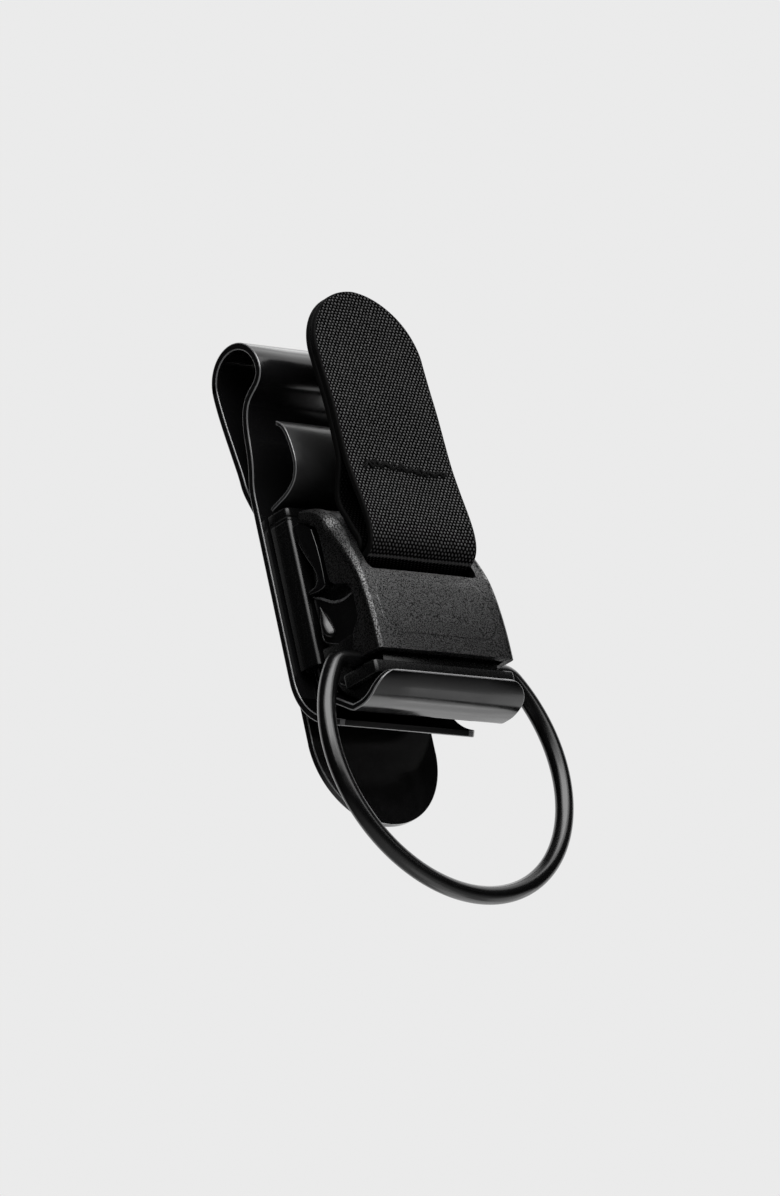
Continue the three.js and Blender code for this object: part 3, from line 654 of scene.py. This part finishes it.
# ------------------------------------------------------------------ guard leaf
leaf_line = [
    (-1.58, 8.4), (-1.58, 11.0), (-1.58, 13.3), (-1.66, 13.95), (-2.1, 14.42), (-3.5, 14.80), (-5.3, 15.25), (-6.6, 15.85),
    (-7.6, 16.6), (-8.25, 17.6), (-8.56, 18.7), (-8.60, 19.9), (-8.45, 21.4), (-8.2, 22.8), (-7.8, 24.1), (-7.0, 25.1), (-5.9, 25.75)]


def leaf_w(s, L):
    if s < 5.4:
        return 9.6
    if s < 6.4:
        t = s - 5.4
        return 9.6 + 2.5 * t * t * (3 - 2 * t)
    return corner_width(12.1, 1.2)(s, L)


leaf_o = strip("guard_leaf_sheet", leaf_line, leaf_w, 0.55, leaf_mat, edge=0.11, ecorner=3, ncol=4, edge_mat=arris_painted_highlight, stations=end_stations(1.2, 8), ds=0.3, smooth=3)
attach(leaf_o, "clip")
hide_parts("guard_leaf")

# ------------------------------------------------------------------ cradle bracket
TAN = math.tan(math.radians(36))
wp = (-10.8 - math.sin(math.radians(36)) * 0.45, -18.0 + math.cos(math.radians(36)) * 0.45)


def web_z(y):
    return wp[1] + TAN * (y - wp[0])


cradle_pts = [(-1.75, 8.0), (-1.75, web_z(-1.75)), (wp[0] + (-17.58 - wp[1]) / TAN, -17.58), (-12.3, -17.58)]
cradle_round = []
for i, (p, r) in enumerate(zip(cradle_pts, (0, 2.0, 1.1, 0))):
    if r == 0:
        cradle_round.append(p)
        continue
    a, b = np.array(cradle_pts[i - 1]), np.array(cradle_pts[i + 1])
    c = np.array(p)
    u, v = (a - c) / np.linalg.norm(a - c), (b - c) / np.linalg.norm(b - c)
    ang = math.acos(float(u @ v))
    d = r / math.tan(ang / 2)
    m = c + (u + v) / np.linalg.norm(u + v) * (r / math.sin(ang / 2))
    s0, s1 = c + u * d, c + v * d
    a0, a1 = math.atan2(*(s0 - m)[::-1]), math.atan2(*(s1 - m)[::-1])
    da = (a1 - a0 + math.pi) % (2 * math.pi) - math.pi
    n = 12
    cradle_round += [(m[0] + r * math.cos(a0 + da * k / n), m[1] + r * math.sin(a0 + da * k / n)) for k in range(n + 1)]


def densify(line, ds):
    out = [tuple(line[0])]
    for a, b in zip(line[:-1], line[1:]):
        n = max(int(math.dist(a, b) / ds), 1)
        out += [(a[0] + (b[0] - a[0]) * k / n, a[1] + (b[1] - a[1]) * k / n) for k in range(1, n + 1)]
    return out


cradle_line = densify(cradle_round + arc(-12.3, -12.38, 5.2, -90, -158.5, 26)[1:], 0.6)


def cradle_w(s, L):
    # narrow flange behind the receiver, full width on the sloping web
    if s < 22.4:
        return 9.6
    if s < 24.2:
        t = (s - 22.4) / 1.8
        return 9.6 + 3.8 * t * t * (3 - 2 * t)
    return corner_width(13.4, 3.3)(s, L)


cradle_o = strip(
    "cradle_sheet", cradle_line, cradle_w, lambda s, L: 0.9 - 0.28 * max(1 - (L - s) / 0.22, 0.0) ** 2, bracket_mat, edge=0.20, ecorner=4, ncol=4, edge_mat=arris_painted_highlight,
    stations=lambda L: list(L - 3.3 + 3.3 * np.sin(np.linspace(0, math.pi / 2, 14))) + list(np.linspace(22.4, 24.2, 10)) + list(L - np.array([0.22, 0.14, 0.08, 0.03])), dense_line=False, end_arris=0.23)
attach(cradle_o, "clip")
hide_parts("cradle_bracket")

# ------------------------------------------------------------------ receiver housing
sec = []
sec += [(-12.2, -1.3)]
sec += arc(-12.2 + 0.75, -5.2 + 0.75, 0.75, 180, 270, 8)
sec += arc(12.2 - 0.75, -5.2 + 0.75, 0.75, 270, 360, 8)
sec += [(12.2, -1.3)]
rec = prism("receiver", sec, -9.2, 12.15, "Z", smooth_plastic, 0.35, 3)
cap = prism("receiver_cap", sec, 12.3, 13.85, "Z", smooth_plastic, 0.3, 3)
rec = boolean(rec, prism("neck", [(x * 0.99, y * 0.985) for x, y in sec], 11.5, 12.8, "Z"), "UNION")
rec = boolean(rec, cap, "UNION")
rec = boolean(rec, prism("c1", [(-10, -2.5), (10, -2.5), (10, 0), (-10, 0)], -12, 16, "Z"))
rec = boolean(rec, prism("c2", [(-0.9, -8.6), (-0.9, -12), (-7, -12), (-7, -9.0), (-3.2, -8.6)], -14, 14, "X"))
for x in (-5.5, 5.5):
    for z in (11.2, -5.4):
        rec = boolean(rec, prism("c3", [(x + 2.3 * math.cos(a), z + 2.3 * math.sin(a)) for a in np.linspace(0, 2 * math.pi, 40, endpoint=False)], -6, -4.2, "Y"))
        rec = boolean(rec, prism("c4", [(x + 1.5 * math.cos(a), z + 1.5 * math.sin(a)) for a in np.linspace(0, 2 * math.pi, 32, endpoint=False)], -6, 0, "Y"))
    rec = boolean(rec, prism("c5", [(x - 4.8, -1.8), (x + 4.8, -1.8), (x + 4.8, 7.8), (x - 4.8, 7.8)], -4.6, -2.0, "Y"))
# side grooves: parting line along the rail
for s in (-1, 1):
    rec = boolean(rec, prism("c6", [(s * 12.4, -2.62), (s * 12.06, -2.62), (s * 12.06, -2.40), (s * 12.4, -2.40)], -12, 16, "Z"))
clean(rec, 32)
rec.name = "receiver_shell"
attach(rec, "clip")
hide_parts("receiver_housing")

# ------------------------------------------------------------------ buckle cover
skin = np.array([
    (-7.2, 12.38), (-7.9, 12.3), (-8.7, 12.1), (-9.7, 11.75), (-10.6, 11.28), (-11.4, 10.65), (-12.05, 9.9), (-12.6, 8.9), (-13.15, 7.6), (-14.25, 5.2),
    (-15.3, 2.8), (-16.0, 0.8), (-16.5, -1.4), (-16.85, -3.8), (-17.1, -6.4), (-17.2, -9.0), (-17.2, -11.2)])
skirt = np.array([
    (-7.2, 11.2), (-7.6, 10.9), (-9.3, 9.9), (-10.05, 8.6), (-10.3, 7.0), (-10.35, 4.0), (-10.4, 1.2), (-10.9, 0.3), (-12.3, -0.15), (-13.6, -0.7), (-14.25, -2.2),
    (-14.35, -4.6), (-14.0, -6.2), (-12.9, -7.3), (-12.3, -8.9), (-12.2, -11.2)])
q = resample(skin, 0.35, 3)
sl = np.r_[0, np.cumsum(np.linalg.norm(np.diff(q, axis=0), axis=1))]
f_all = sl / sl[-1]
sk = resample(skirt, 0.1, 20)
ks = np.r_[0, np.cumsum(np.linalg.norm(np.diff(sk, axis=0), axis=1))]
ks /= ks[-1]
# how far along the skirt each skin station looks, by height
zq = q[:, 1]
kz = np.interp(-zq, [-12.4, -12.1, -10.9, -8.6, -5.0, -2.0, -0.5, 0.6, 2.4, 4.4, 6.2, 8.0, 9.6, 11.2],
               [0.0, 0.02, 0.115, 0.205, 0.335, 0.46, 0.545, 0.605, 0.675, 0.735, 0.785, 0.84, 0.915, 1.0])
g_all = np.maximum.accumulate(kz)
r_all = np.interp(-zq, [-12.4, -12.0, -11.2, -10.4, -8.3, -4.4, -0.5, 4.3, 8.8, 11.2], [0.9, 1.9, 2.7, 3.1, 2.7, 1.5, 1.1, 1.0, 0.95, 0.9])
HW = 12.2
WALL = 1.15
verts, faces = [], []
M = None
for i in range(len(q)):
    P = q[i]
    S = np.array([np.interp(g_all[i], ks, sk[:, 0]), np.interp(g_all[i], ks, sk[:, 1])])
    D = S - P
    L = float(np.linalg.norm(D))
    D = D / L
    r = min(r_all[i], L * 0.93)
    outer = [(-HW, L), (-HW, (L + r) / 2)]
    outer += [(-HW + r - r * math.cos(a), r - r * math.sin(a)) for a in np.linspace(0, math.pi / 2, 13)]
    nx = 12
    xs = np.linspace(-(HW - r), HW - r, nx + 1)
    outer += [(x, 0.0) for x in xs[1:-1]]
    outer += [(HW - r + r * math.sin(a), r - r * math.cos(a)) for a in np.linspace(0, math.pi / 2, 13)]
    outer += [(HW, (L + r) / 2), (HW, L)]
    ri = max(r - WALL * 0.6, 0.25)
    hi = HW - 1.1
    di = min(WALL, L * 0.9)
    inner = [(hi, L), (hi, max(di + ri, min(L, di + ri)) if di + ri < L else L)]
    ri = min(ri, max(L - di, 0.02))
    inner = [(hi, L)] + [(hi - ri + ri * math.cos(a), di + ri - ri * math.sin(a)) for a in np.linspace(0, math.pi / 2, 7)]
    inner += [(x, di) for x in np.linspace(hi - ri, -(hi - ri), nx + 1)[1:-1]]
    inner += [(-(hi - ri) - ri * math.sin(a), di + ri - ri * math.cos(a)) for a in np.linspace(0, math.pi / 2, 7)] + [(-hi, L)]
    sec_pts = outer + inner
    M = len(sec_pts)
    for x, d in sec_pts:
        crown = 0.22 * min(abs(x) / (HW - 0.5), 1.0) ** 2 if d < 0.01 else 0.0
        verts.append((x, P[0] + D[0] * (d + crown), P[1] + D[1] * (d + crown)))
for i in range(len(q) - 1):
    for k in range(M):
        a, b = i * M + k, i * M + (k + 1) % M
        faces.append((a, b, b + M, a + M))
faces.append(tuple(range(M))[::-1])
faces.append(tuple(range((len(q) - 1) * M, len(q) * M)))
cover = obj_from("wedge_cover", verts, faces, cover_mat, sharp=34)
slit = rounded_poly([(-9.7, 0.75), (9.7, 0.75), (9.7, 4.7), (-9.7, 4.7)], 0.9, 6)
cover = boolean(cover, prism("slit_tool", slit, -19, -13.0, "Y"))
cover.data.materials.append(cover_side_painted_shade)
# painted shade: faces turned sideways get the darker copy of the grained material
for f in cover.data.polygons:
    if abs(f.normal.x) > 0.80:
        f.material_index = len(cover.data.materials) - 1
clean(cover, 34)
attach(cover, "buckle")
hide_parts("buckle_cover")

# ------------------------------------------------------------------ buckle core
def web_in(y):
    return -18.0 + TAN * (y + 10.8) + 1.4 / math.cos(math.radians(36))


body = [
    (-5.6, 10.6), (-8.6, 10.6), (-10.0, 9.6), (-10.0, -3.4), (-14.6, -3.6), (-15.4, -5.6), (-15.5, -9.0), (-15.4, -15.0), (-14.5, -15.9), (-13.2, -16.5),
    (-10.9, -16.5), (-10.2, web_in(-10.2)), (-6.6, web_in(-6.6)), (-6.0, -11.6), (-5.6, -10.6)]
plug = [
    (-13.05, -7.35), (-13.15, -12.6), (-16.1, -12.65), (-15.75, -14.8), (-14.6, -16.0), (-13.2, -16.6), (-10.95, -16.62), (-10.25, web_in(-10.25) + 0.02),
    (-8.3, web_in(-8.3) + 0.1), (-7.3, -12.6), (-6.1, -11.6), (-5.9, -7.1), (-9.0, -7.55)]
# side faces: a tapered leg that ends in a hooked foot, and a block with a hollowed top edge below it
cheek_u = [
    (-5.2, 10.9), (-6.6, 10.9), (-8.6, 9.2), (-8.95, 6.7), (-9.1, 4.5), (-9.08, 2.3), (-9.02, 0.85), (-8.3, 0.62), (-7.3, 0.58), (-5.5, 0.80), (-5.45, 1.25),
    (-7.0, 1.48), (-7.6, 2.05), (-7.72, 3.0), (-7.35, 4.1), (-6.75, 5.3), (-5.75, 7.6), (-5.2, 9.2)]
cheek_l = [
    (-5.55, 0.35), (-6.4, 0.05), (-7.4, -0.5), (-8.3, -1.1), (-9.2, -1.6), (-10.1, -1.95), (-11.1, -2.05), (-12.3, -1.75), (-13.4, -1.2), (-14.2, -3.2), (-13.9, -7.2), (-11.5, -8.5),
    (-6.1, -6.35), (-5.8, -3.6)]
inner = [(-9.4, 9.4), (-10.2, 9.2), (-11.6, 7.4), (-12.5, 5.4), (-13.5, 3.0), (-14.2, 0.9), (-14.7, -1.5), (-15.0, -3.8), (-14.9, -6.5), (-9.4, -6.5)]
core = prism("core_body", body, -10.3, 10.3, "X", smooth_plastic, 0.25, 2)
core = boolean(core, prism("pocket", [(-9.75, -1.8), (9.75, -1.8), (9.75, 7.8), (-9.75, 7.8)], -12, -6.3, "Y"))
plug_o = prism("plug", rounded_poly(plug, 0.35, 4), -11.7, 11.7, "X", smooth_plastic)
plan = rounded_poly([(-11.7, -4.0), (-11.7, -15.55), (11.7, -15.55), (11.7, -4.0)], [0, 2.0, 2.0, 0], 8)
plug_o = boolean(plug_o, prism("plan", plan, -20, 0, "Z"), "INTERSECT")
bevel(plug_o, 0.3, 3, 35)
rim = rounded_poly([(-12.6, -9.5), (-12.6, -16.0), (12.6, -16.0), (12.6, -9.5)], [0.4, 0.6, 0.6, 0.4], 8)
rim = [(x, y) for x, y in rim]
plug_o = boolean(plug_o, prism("rim", rim, -14.4, -12.5, "Z", smooth_plastic, 0.18, 3), "UNION")
core = boolean(core, plug_o, "UNION")
for s in (-1, 1):
    core = boolean(core, prism("in", inner, s * 10.1, s * 10.42, "X", smooth_plastic), "UNION")
    core = boolean(core, prism("cu", rounded_poly(cheek_u, 0.25, 4), s * 9.87, s * 11.75, "X", gloss_plastic, 0.26, 4), "UNION")
    core = boolean(core, prism("cl", rounded_poly(cheek_l, 0.35, 4), s * 9.83, s * 11.05, "X", gloss_plastic, 0.42, 4), "UNION")
core = boolean(core, prism("bore", [(-11.9 + 1.6 * math.cos(a), -11.0 + 1.6 * math.sin(a)) for a in np.linspace(0, 2 * math.pi, 48, endpoint=False)], -14, 14, "X"))


def teardrop(s):
    """A pear-shaped ramp beside the block, its face turned forwards and a little outwards."""
    verts, faces = [], []
    tip, bulb = np.array([-11.3, -6.75, -1.3]), np.array([-11.35, -7.8, -5.35])
    axis = bulb - tip
    ln = np.linalg.norm(axis)
    axis = axis / ln
    nrm = np.array([-0.62, -0.785, 0.05])
    nrm = nrm - axis * (nrm @ axis)
    nrm /= np.linalg.norm(nrm)
    side = np.cross(axis, nrm)
    nl, na = 26, 22
    for i in range(nl + 1):
        t = i / nl
        c = tip + axis * (ln + 0.75) * t
        w = 0.98 * math.sqrt(max(1 - ((t - 0.74) / 0.27) ** 2, 0)) if t > 0.74 else 0.98 * math.sin(math.pi / 2 * t / 0.74) ** 1.3
        w = max(w, 0.012)
        for k in range(na):
            a = 2 * math.pi * k / na
            up_n = math.sin(a)
            p = c + side * w * math.cos(a) + nrm * w * (0.40 * up_n if up_n > 0 else 1.1 * up_n)
            verts.append((-s * p[0], p[1], p[2]))
    for i in range(nl):
        for k in range(na):
            a, b = i * na + k, i * na + (k + 1) % na
            faces.append((a, b, b + na, a + na))
    faces.append(tuple(range(na))[::-1])
    faces.append(tuple(range(nl * na, (nl + 1) * na)))
    return obj_from("pip", verts, faces, gloss_plastic)


# small ribs in the side recess; their lighter material is a painted glint
ribs = [
    ([(-11.1, -5.7, 0.50), (-11.12, -7.37, -0.44), (-11.12, -9.11, -1.55), (-11.12, -11.05, -2.02), (-11.1, -13.0, -1.80)], 0.21, rib_painted_glint),
    ([(-10.95, -5.66, -0.7), (-10.97, -5.92, -3.6), (-10.97, -6.15, -6.1), (-10.97, -10.6, -8.0), (-10.95, -11.35, -7.6)], 0.10, rib_painted_glint),
    ([(-11.68, -7.85, -12.7), (-11.70, -8.66, -13.40), (-11.68, -9.66, -13.56)], 0.10, rib_painted_glint)]
for s in (-1, 1):
    core = boolean(core, teardrop(s), "UNION")
    for pts, r, m in ribs:
        line = resample([(-s * x, y, z) for x, y, z in pts], 0.25, 2)
        core = boolean(core, tube("rib", line, r, m, sides=12, taper=lambda t: 0.35 + 0.65 * math.sin(math.pi * min(max(t, 0.0), 1.0)) ** 0.6), "UNION")
clean(core, 34)
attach(core, "buckle")
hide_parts("buckle_core")

# ------------------------------------------------------------------ pull tab
# strap: from inside the slit, round the fold, up the front ply, and back down the rear ply to the slit
front_ply = [
    (-12.6, 2.75), (-13.8, 2.8), (-14.9, 2.9), (-15.7, 3.15), (-16.3, 3.6), (-16.72, 4.3), (-16.93, 5.1), (-17.0, 6.1), (-16.96, 7.5),
    (-16.6, 10.0), (-16.0, 13.3), (-15.45, 17.0), (-15.18, 21.0), (-14.98, 25.0), (-14.5, 30.0), (-14.08, 35.0), (-14.08, 39.0), (-14.25, 42.25)]
rear_ply = [
    (-12.3, 3.75), (-13.3, 3.85), (-14.2, 4.05), (-14.72, 4.6), (-14.66, 5.4), (-14.25, 6.3), (-13.68, 7.6), (-13.2, 8.9), (-12.6, 10.2), (-12.25, 11.4),
    (-12.3, 12.7), (-12.75, 14.0), (-13.55, 15.6), (-14.2, 17.6), (-14.18, 21.0), (-13.98, 25.0), (-13.5, 30.0), (-13.08, 35.0), (-13.08, 39.0), (-13.25, 42.25)]


def tab_w(s, L):
    d = L - s
    w = 9.5
    if d < 9.5:
        w = math.sqrt(max(9.5**2 - (9.5 - d) ** 2, 0.0)) + 0.02
    return w


def tab_stations(L):
    return list(L - 9.5 + 9.5 * np.sin(np.linspace(0, math.pi / 2, 36)))


def ripple(seed):
    def f(x, s, L):
        return 0.035 * math.sin(x * 0.55 + s * 0.21 + seed) + 0.03 * math.sin(x * 0.23 - s * 0.37 + seed * 2.1)
    return f


def tip_shift(s, L):
    d = L - s
    return -0.9 * (1 - d / 9.5) ** 2 if d < 9.5 else 0.0


tab_front = strip("tab_front_ply", front_ply, tab_w, 0.92, weave, edge=0.30, ecorner=4, ncol=20, stations=tab_stations, ds=0.45, smooth=4, lift=ripple(0.3), edge_mat=strap_edge_painted_shade, shift=tip_shift)
tab_rear = strip("tab_rear_ply", rear_ply, tab_w, 0.92, weave_painted_shade, edge=0.30, ecorner=4, ncol=20, stations=tab_stations, ds=0.45, smooth=4, lift=ripple(0.35), uv0=3.2, edge_mat=strap_edge_painted_shade, shift=tip_shift)
for o in (tab_front, tab_rear):
    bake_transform(o)
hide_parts("pull_tab")
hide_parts("tab_anchor_loop")

# bar tack: a zigzag of thread across the front ply
zz = []
fp = resample(front_ply, 0.2, 8)


def ply_y(z):
    k = np.argsort(fp[:, 1])
    return float(np.interp(z, fp[k, 1], fp[k, 0]))


rng = np.random.default_rng(7)


def zigzag(nst, amp, x0, x1, drift, phase):
    knots = []
    for i in range(nst + 1):
        t = i / nst
        x = x0 + (x1 - x0) * t + float(rng.normal(0, 0.10))
        z = 15.75 + drift * math.sin(t * 5.2 + phase) + amp * (1 if i % 2 else -1) * (0.7 + 0.5 * float(rng.random()))
        knots.append((x, z))
    out = []
    for (xa, za), (xb, zb) in zip(knots[:-1], knots[1:]):
        for k in range(7):
            t = k / 7
            bow = math.sin(math.pi * t) ** 0.7
            x, z = xa + (xb - xa) * t, za + (zb - za) * t
            out.append((x, ply_y(z) - 0.38 - 0.27 * bow, z))
    x, z = knots[-1]
    out.append((x, ply_y(z) - 0.38, z))
    return out


tack = tube("bar_tack_thread", zigzag(19, 0.60, -6.9, 7.9, 0.36, 0.4), 0.19, thread_mat, sides=10)
tack_b = tube("bar_tack_run", zigzag(12, 0.42, -7.0, 8.0, 0.36, 0.9), 0.17, thread_mat, sides=10)
for o in (tack, tack_b):
    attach(o, "tab")
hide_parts("tab_bar_tack")

# ------------------------------------------------------------------ D-ring
n = math.hypot(1, 0.06)
down = np.array([0, -0.06 / n, -1 / n])
bar = np.array([0, -11.9, -11.0])
R, RF, CH = 20.25, 2.6, 13.3
fx = math.sqrt((R - RF) ** 2 - (CH - RF) ** 2)
a1 = math.atan2(CH - RF, fx)


def at(x, d):
    return bar + np.array([x, 0, 0]) + down * d


ring = [at(x, 0) for x in np.linspace(0.02, fx, 16)[:-1]]
ring += [at(fx + RF * math.cos(a), RF - RF * math.sin(a)) for a in np.linspace(math.pi / 2, a1, 14)]
ring += [at(R * math.cos(a), CH - R * math.sin(a)) for a in np.linspace(a1, -math.pi - a1, 150)[1:-1]]
ring += [at(-fx + RF * math.cos(a), RF - RF * math.sin(a)) for a in np.linspace(math.pi - a1, math.pi / 2, 14)]
ring += [at(x, 0) for x in np.linspace(-fx, -0.02, 16)[1:]]
ring_o = tube("ring_wire", ring, 1.25, wire_mat, sides=40)
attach(ring_o, "ring")
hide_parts("d_ring")

# ------------------------------------------------------------------ CAD nodes that stay
for name, mat in (
    ("receiver_magnet_left", nickel), ("receiver_magnet_right", nickel), ("buckle_magnet_left", nickel), ("buckle_magnet_right", nickel),
    ("buckle_yoke", plain), ("tab_pin", plain),
    ("rivet_upper_left", plain), ("rivet_upper_right", plain), ("rivet_lower_left", plain), ("rivet_lower_right", plain),
):
    me = nodes[name].data
    if me.materials:
        for i in range(len(me.materials)):
            me.materials[i] = mat
    else:
        me.materials.append(mat)

# ------------------------------------------------------------------ stage
world = bpy.data.worlds.new("world")
scene.world = world
world.use_nodes = True
wt = world.node_tree
bg = wt.nodes["Background"]
bg.inputs["Color"].default_value = (0.83, 0.83, 0.83, 1)
bg.inputs["Strength"].default_value = 1.0
dim = wt.nodes.new("ShaderNodeBackground")
dim.inputs["Color"].default_value = (0.012, 0.012, 0.012, 1)
dim.inputs["Strength"].default_value = 1.0
lp = wt.nodes.new("ShaderNodeLightPath")
mx = wt.nodes.new("ShaderNodeMixShader")
wt.links.new(lp.outputs["Is Camera Ray"], mx.inputs[0])
wt.links.new(dim.outputs[0], mx.inputs[1])
wt.links.new(bg.outputs[0], mx.inputs[2])
wt.links.new(mx.outputs[0], wt.nodes["World Output"].inputs["Surface"])

floor_me = bpy.data.meshes.new("floor")
floor_me.from_pydata([(-3, -3, -0.75), (3, -3, -0.75), (3, 3, -0.75), (-3, 3, -0.75)], [], [(0, 1, 2, 3)])
floor = bpy.data.objects.new("floor", floor_me)
scene.collection.objects.link(floor)
fl = Net("pale_floor")
fl.set(Base_Color=fl.mix(fl.noise(fl.coords(), 3.0, 2.0), (0.78, 0.78, 0.78), (0.83, 0.83, 0.83)), Roughness=0.9)
floor_me.materials.append(fl.mat)


def softbox(name, az, el, dist, half_az, half_el, radiance, seen=False):
    """A rectangle of the given angular half sizes. az is measured from the front (-Y) towards +X."""
    a, e = math.radians(az), math.radians(el)
    d = Vector((math.cos(e) * math.sin(a), -math.cos(e) * math.cos(a), math.sin(e)))
    li = bpy.data.lights.new(name, "AREA")
    li.shape = "RECTANGLE"
    w = 2 * dist * math.tan(math.radians(half_az))
    h = 2 * dist * math.tan(math.radians(half_el))
    li.size, li.size_y = w, h
    li.energy = radiance * math.pi * w * h
    o = bpy.data.objects.new(name, li)
    scene.collection.objects.link(o)
    o.location = Vector((0, -0.008, 0.0)) + d * dist
    z = d
    x = Vector((0, 0, 1)).cross(z).normalized() if abs(d.z) < 0.99 else Vector((1, 0, 0))
    y = z.cross(x)
    o.matrix_world = Matrix.Translation(o.location) @ Matrix(((x.x, y.x, z.x, 0), (x.y, y.y, z.y, 0), (x.z, y.z, z.z, 0), (0, 0, 0, 1)))
    o.visible_camera = seen
    return o


softbox("key_outer", -14, 38, 0.80, 42, 25, 2.6)
softbox("key_core", -16, 40, 0.79, 27, 16, 4.0)
for i, (az, half, lo, part) in enumerate(((104, 15, 42, 0.55), (98, 20, 36, 0.45), (90, 25, 30, 0.30))):
    softbox("top_card_%d" % i, az, (lo + 74) / 2, 0.90 + 0.01 * i, half, (74 - lo) / 2, part)
softbox("side_card", 66, 45, 0.95, 15, 14, 0.9)
softbox("back_card", 145, 8, 1.0, 57, 50, 1.0)
for i, (az, half, hi, part) in enumerate(((132, 17, -26, 0.45), (130, 16, -34, 0.45), (130, 15, -42, 0.5))):
    softbox("low_card_%d" % i, az, (hi - 78) / 2, 0.66 + 0.01 * i, half, (78 + hi) / 2, part)
softbox("low_fill", 88, -34, 0.7, 19, 15, 0.8)
softbox("low_front", 20, -80, 0.62, 20, 16, 0.7)
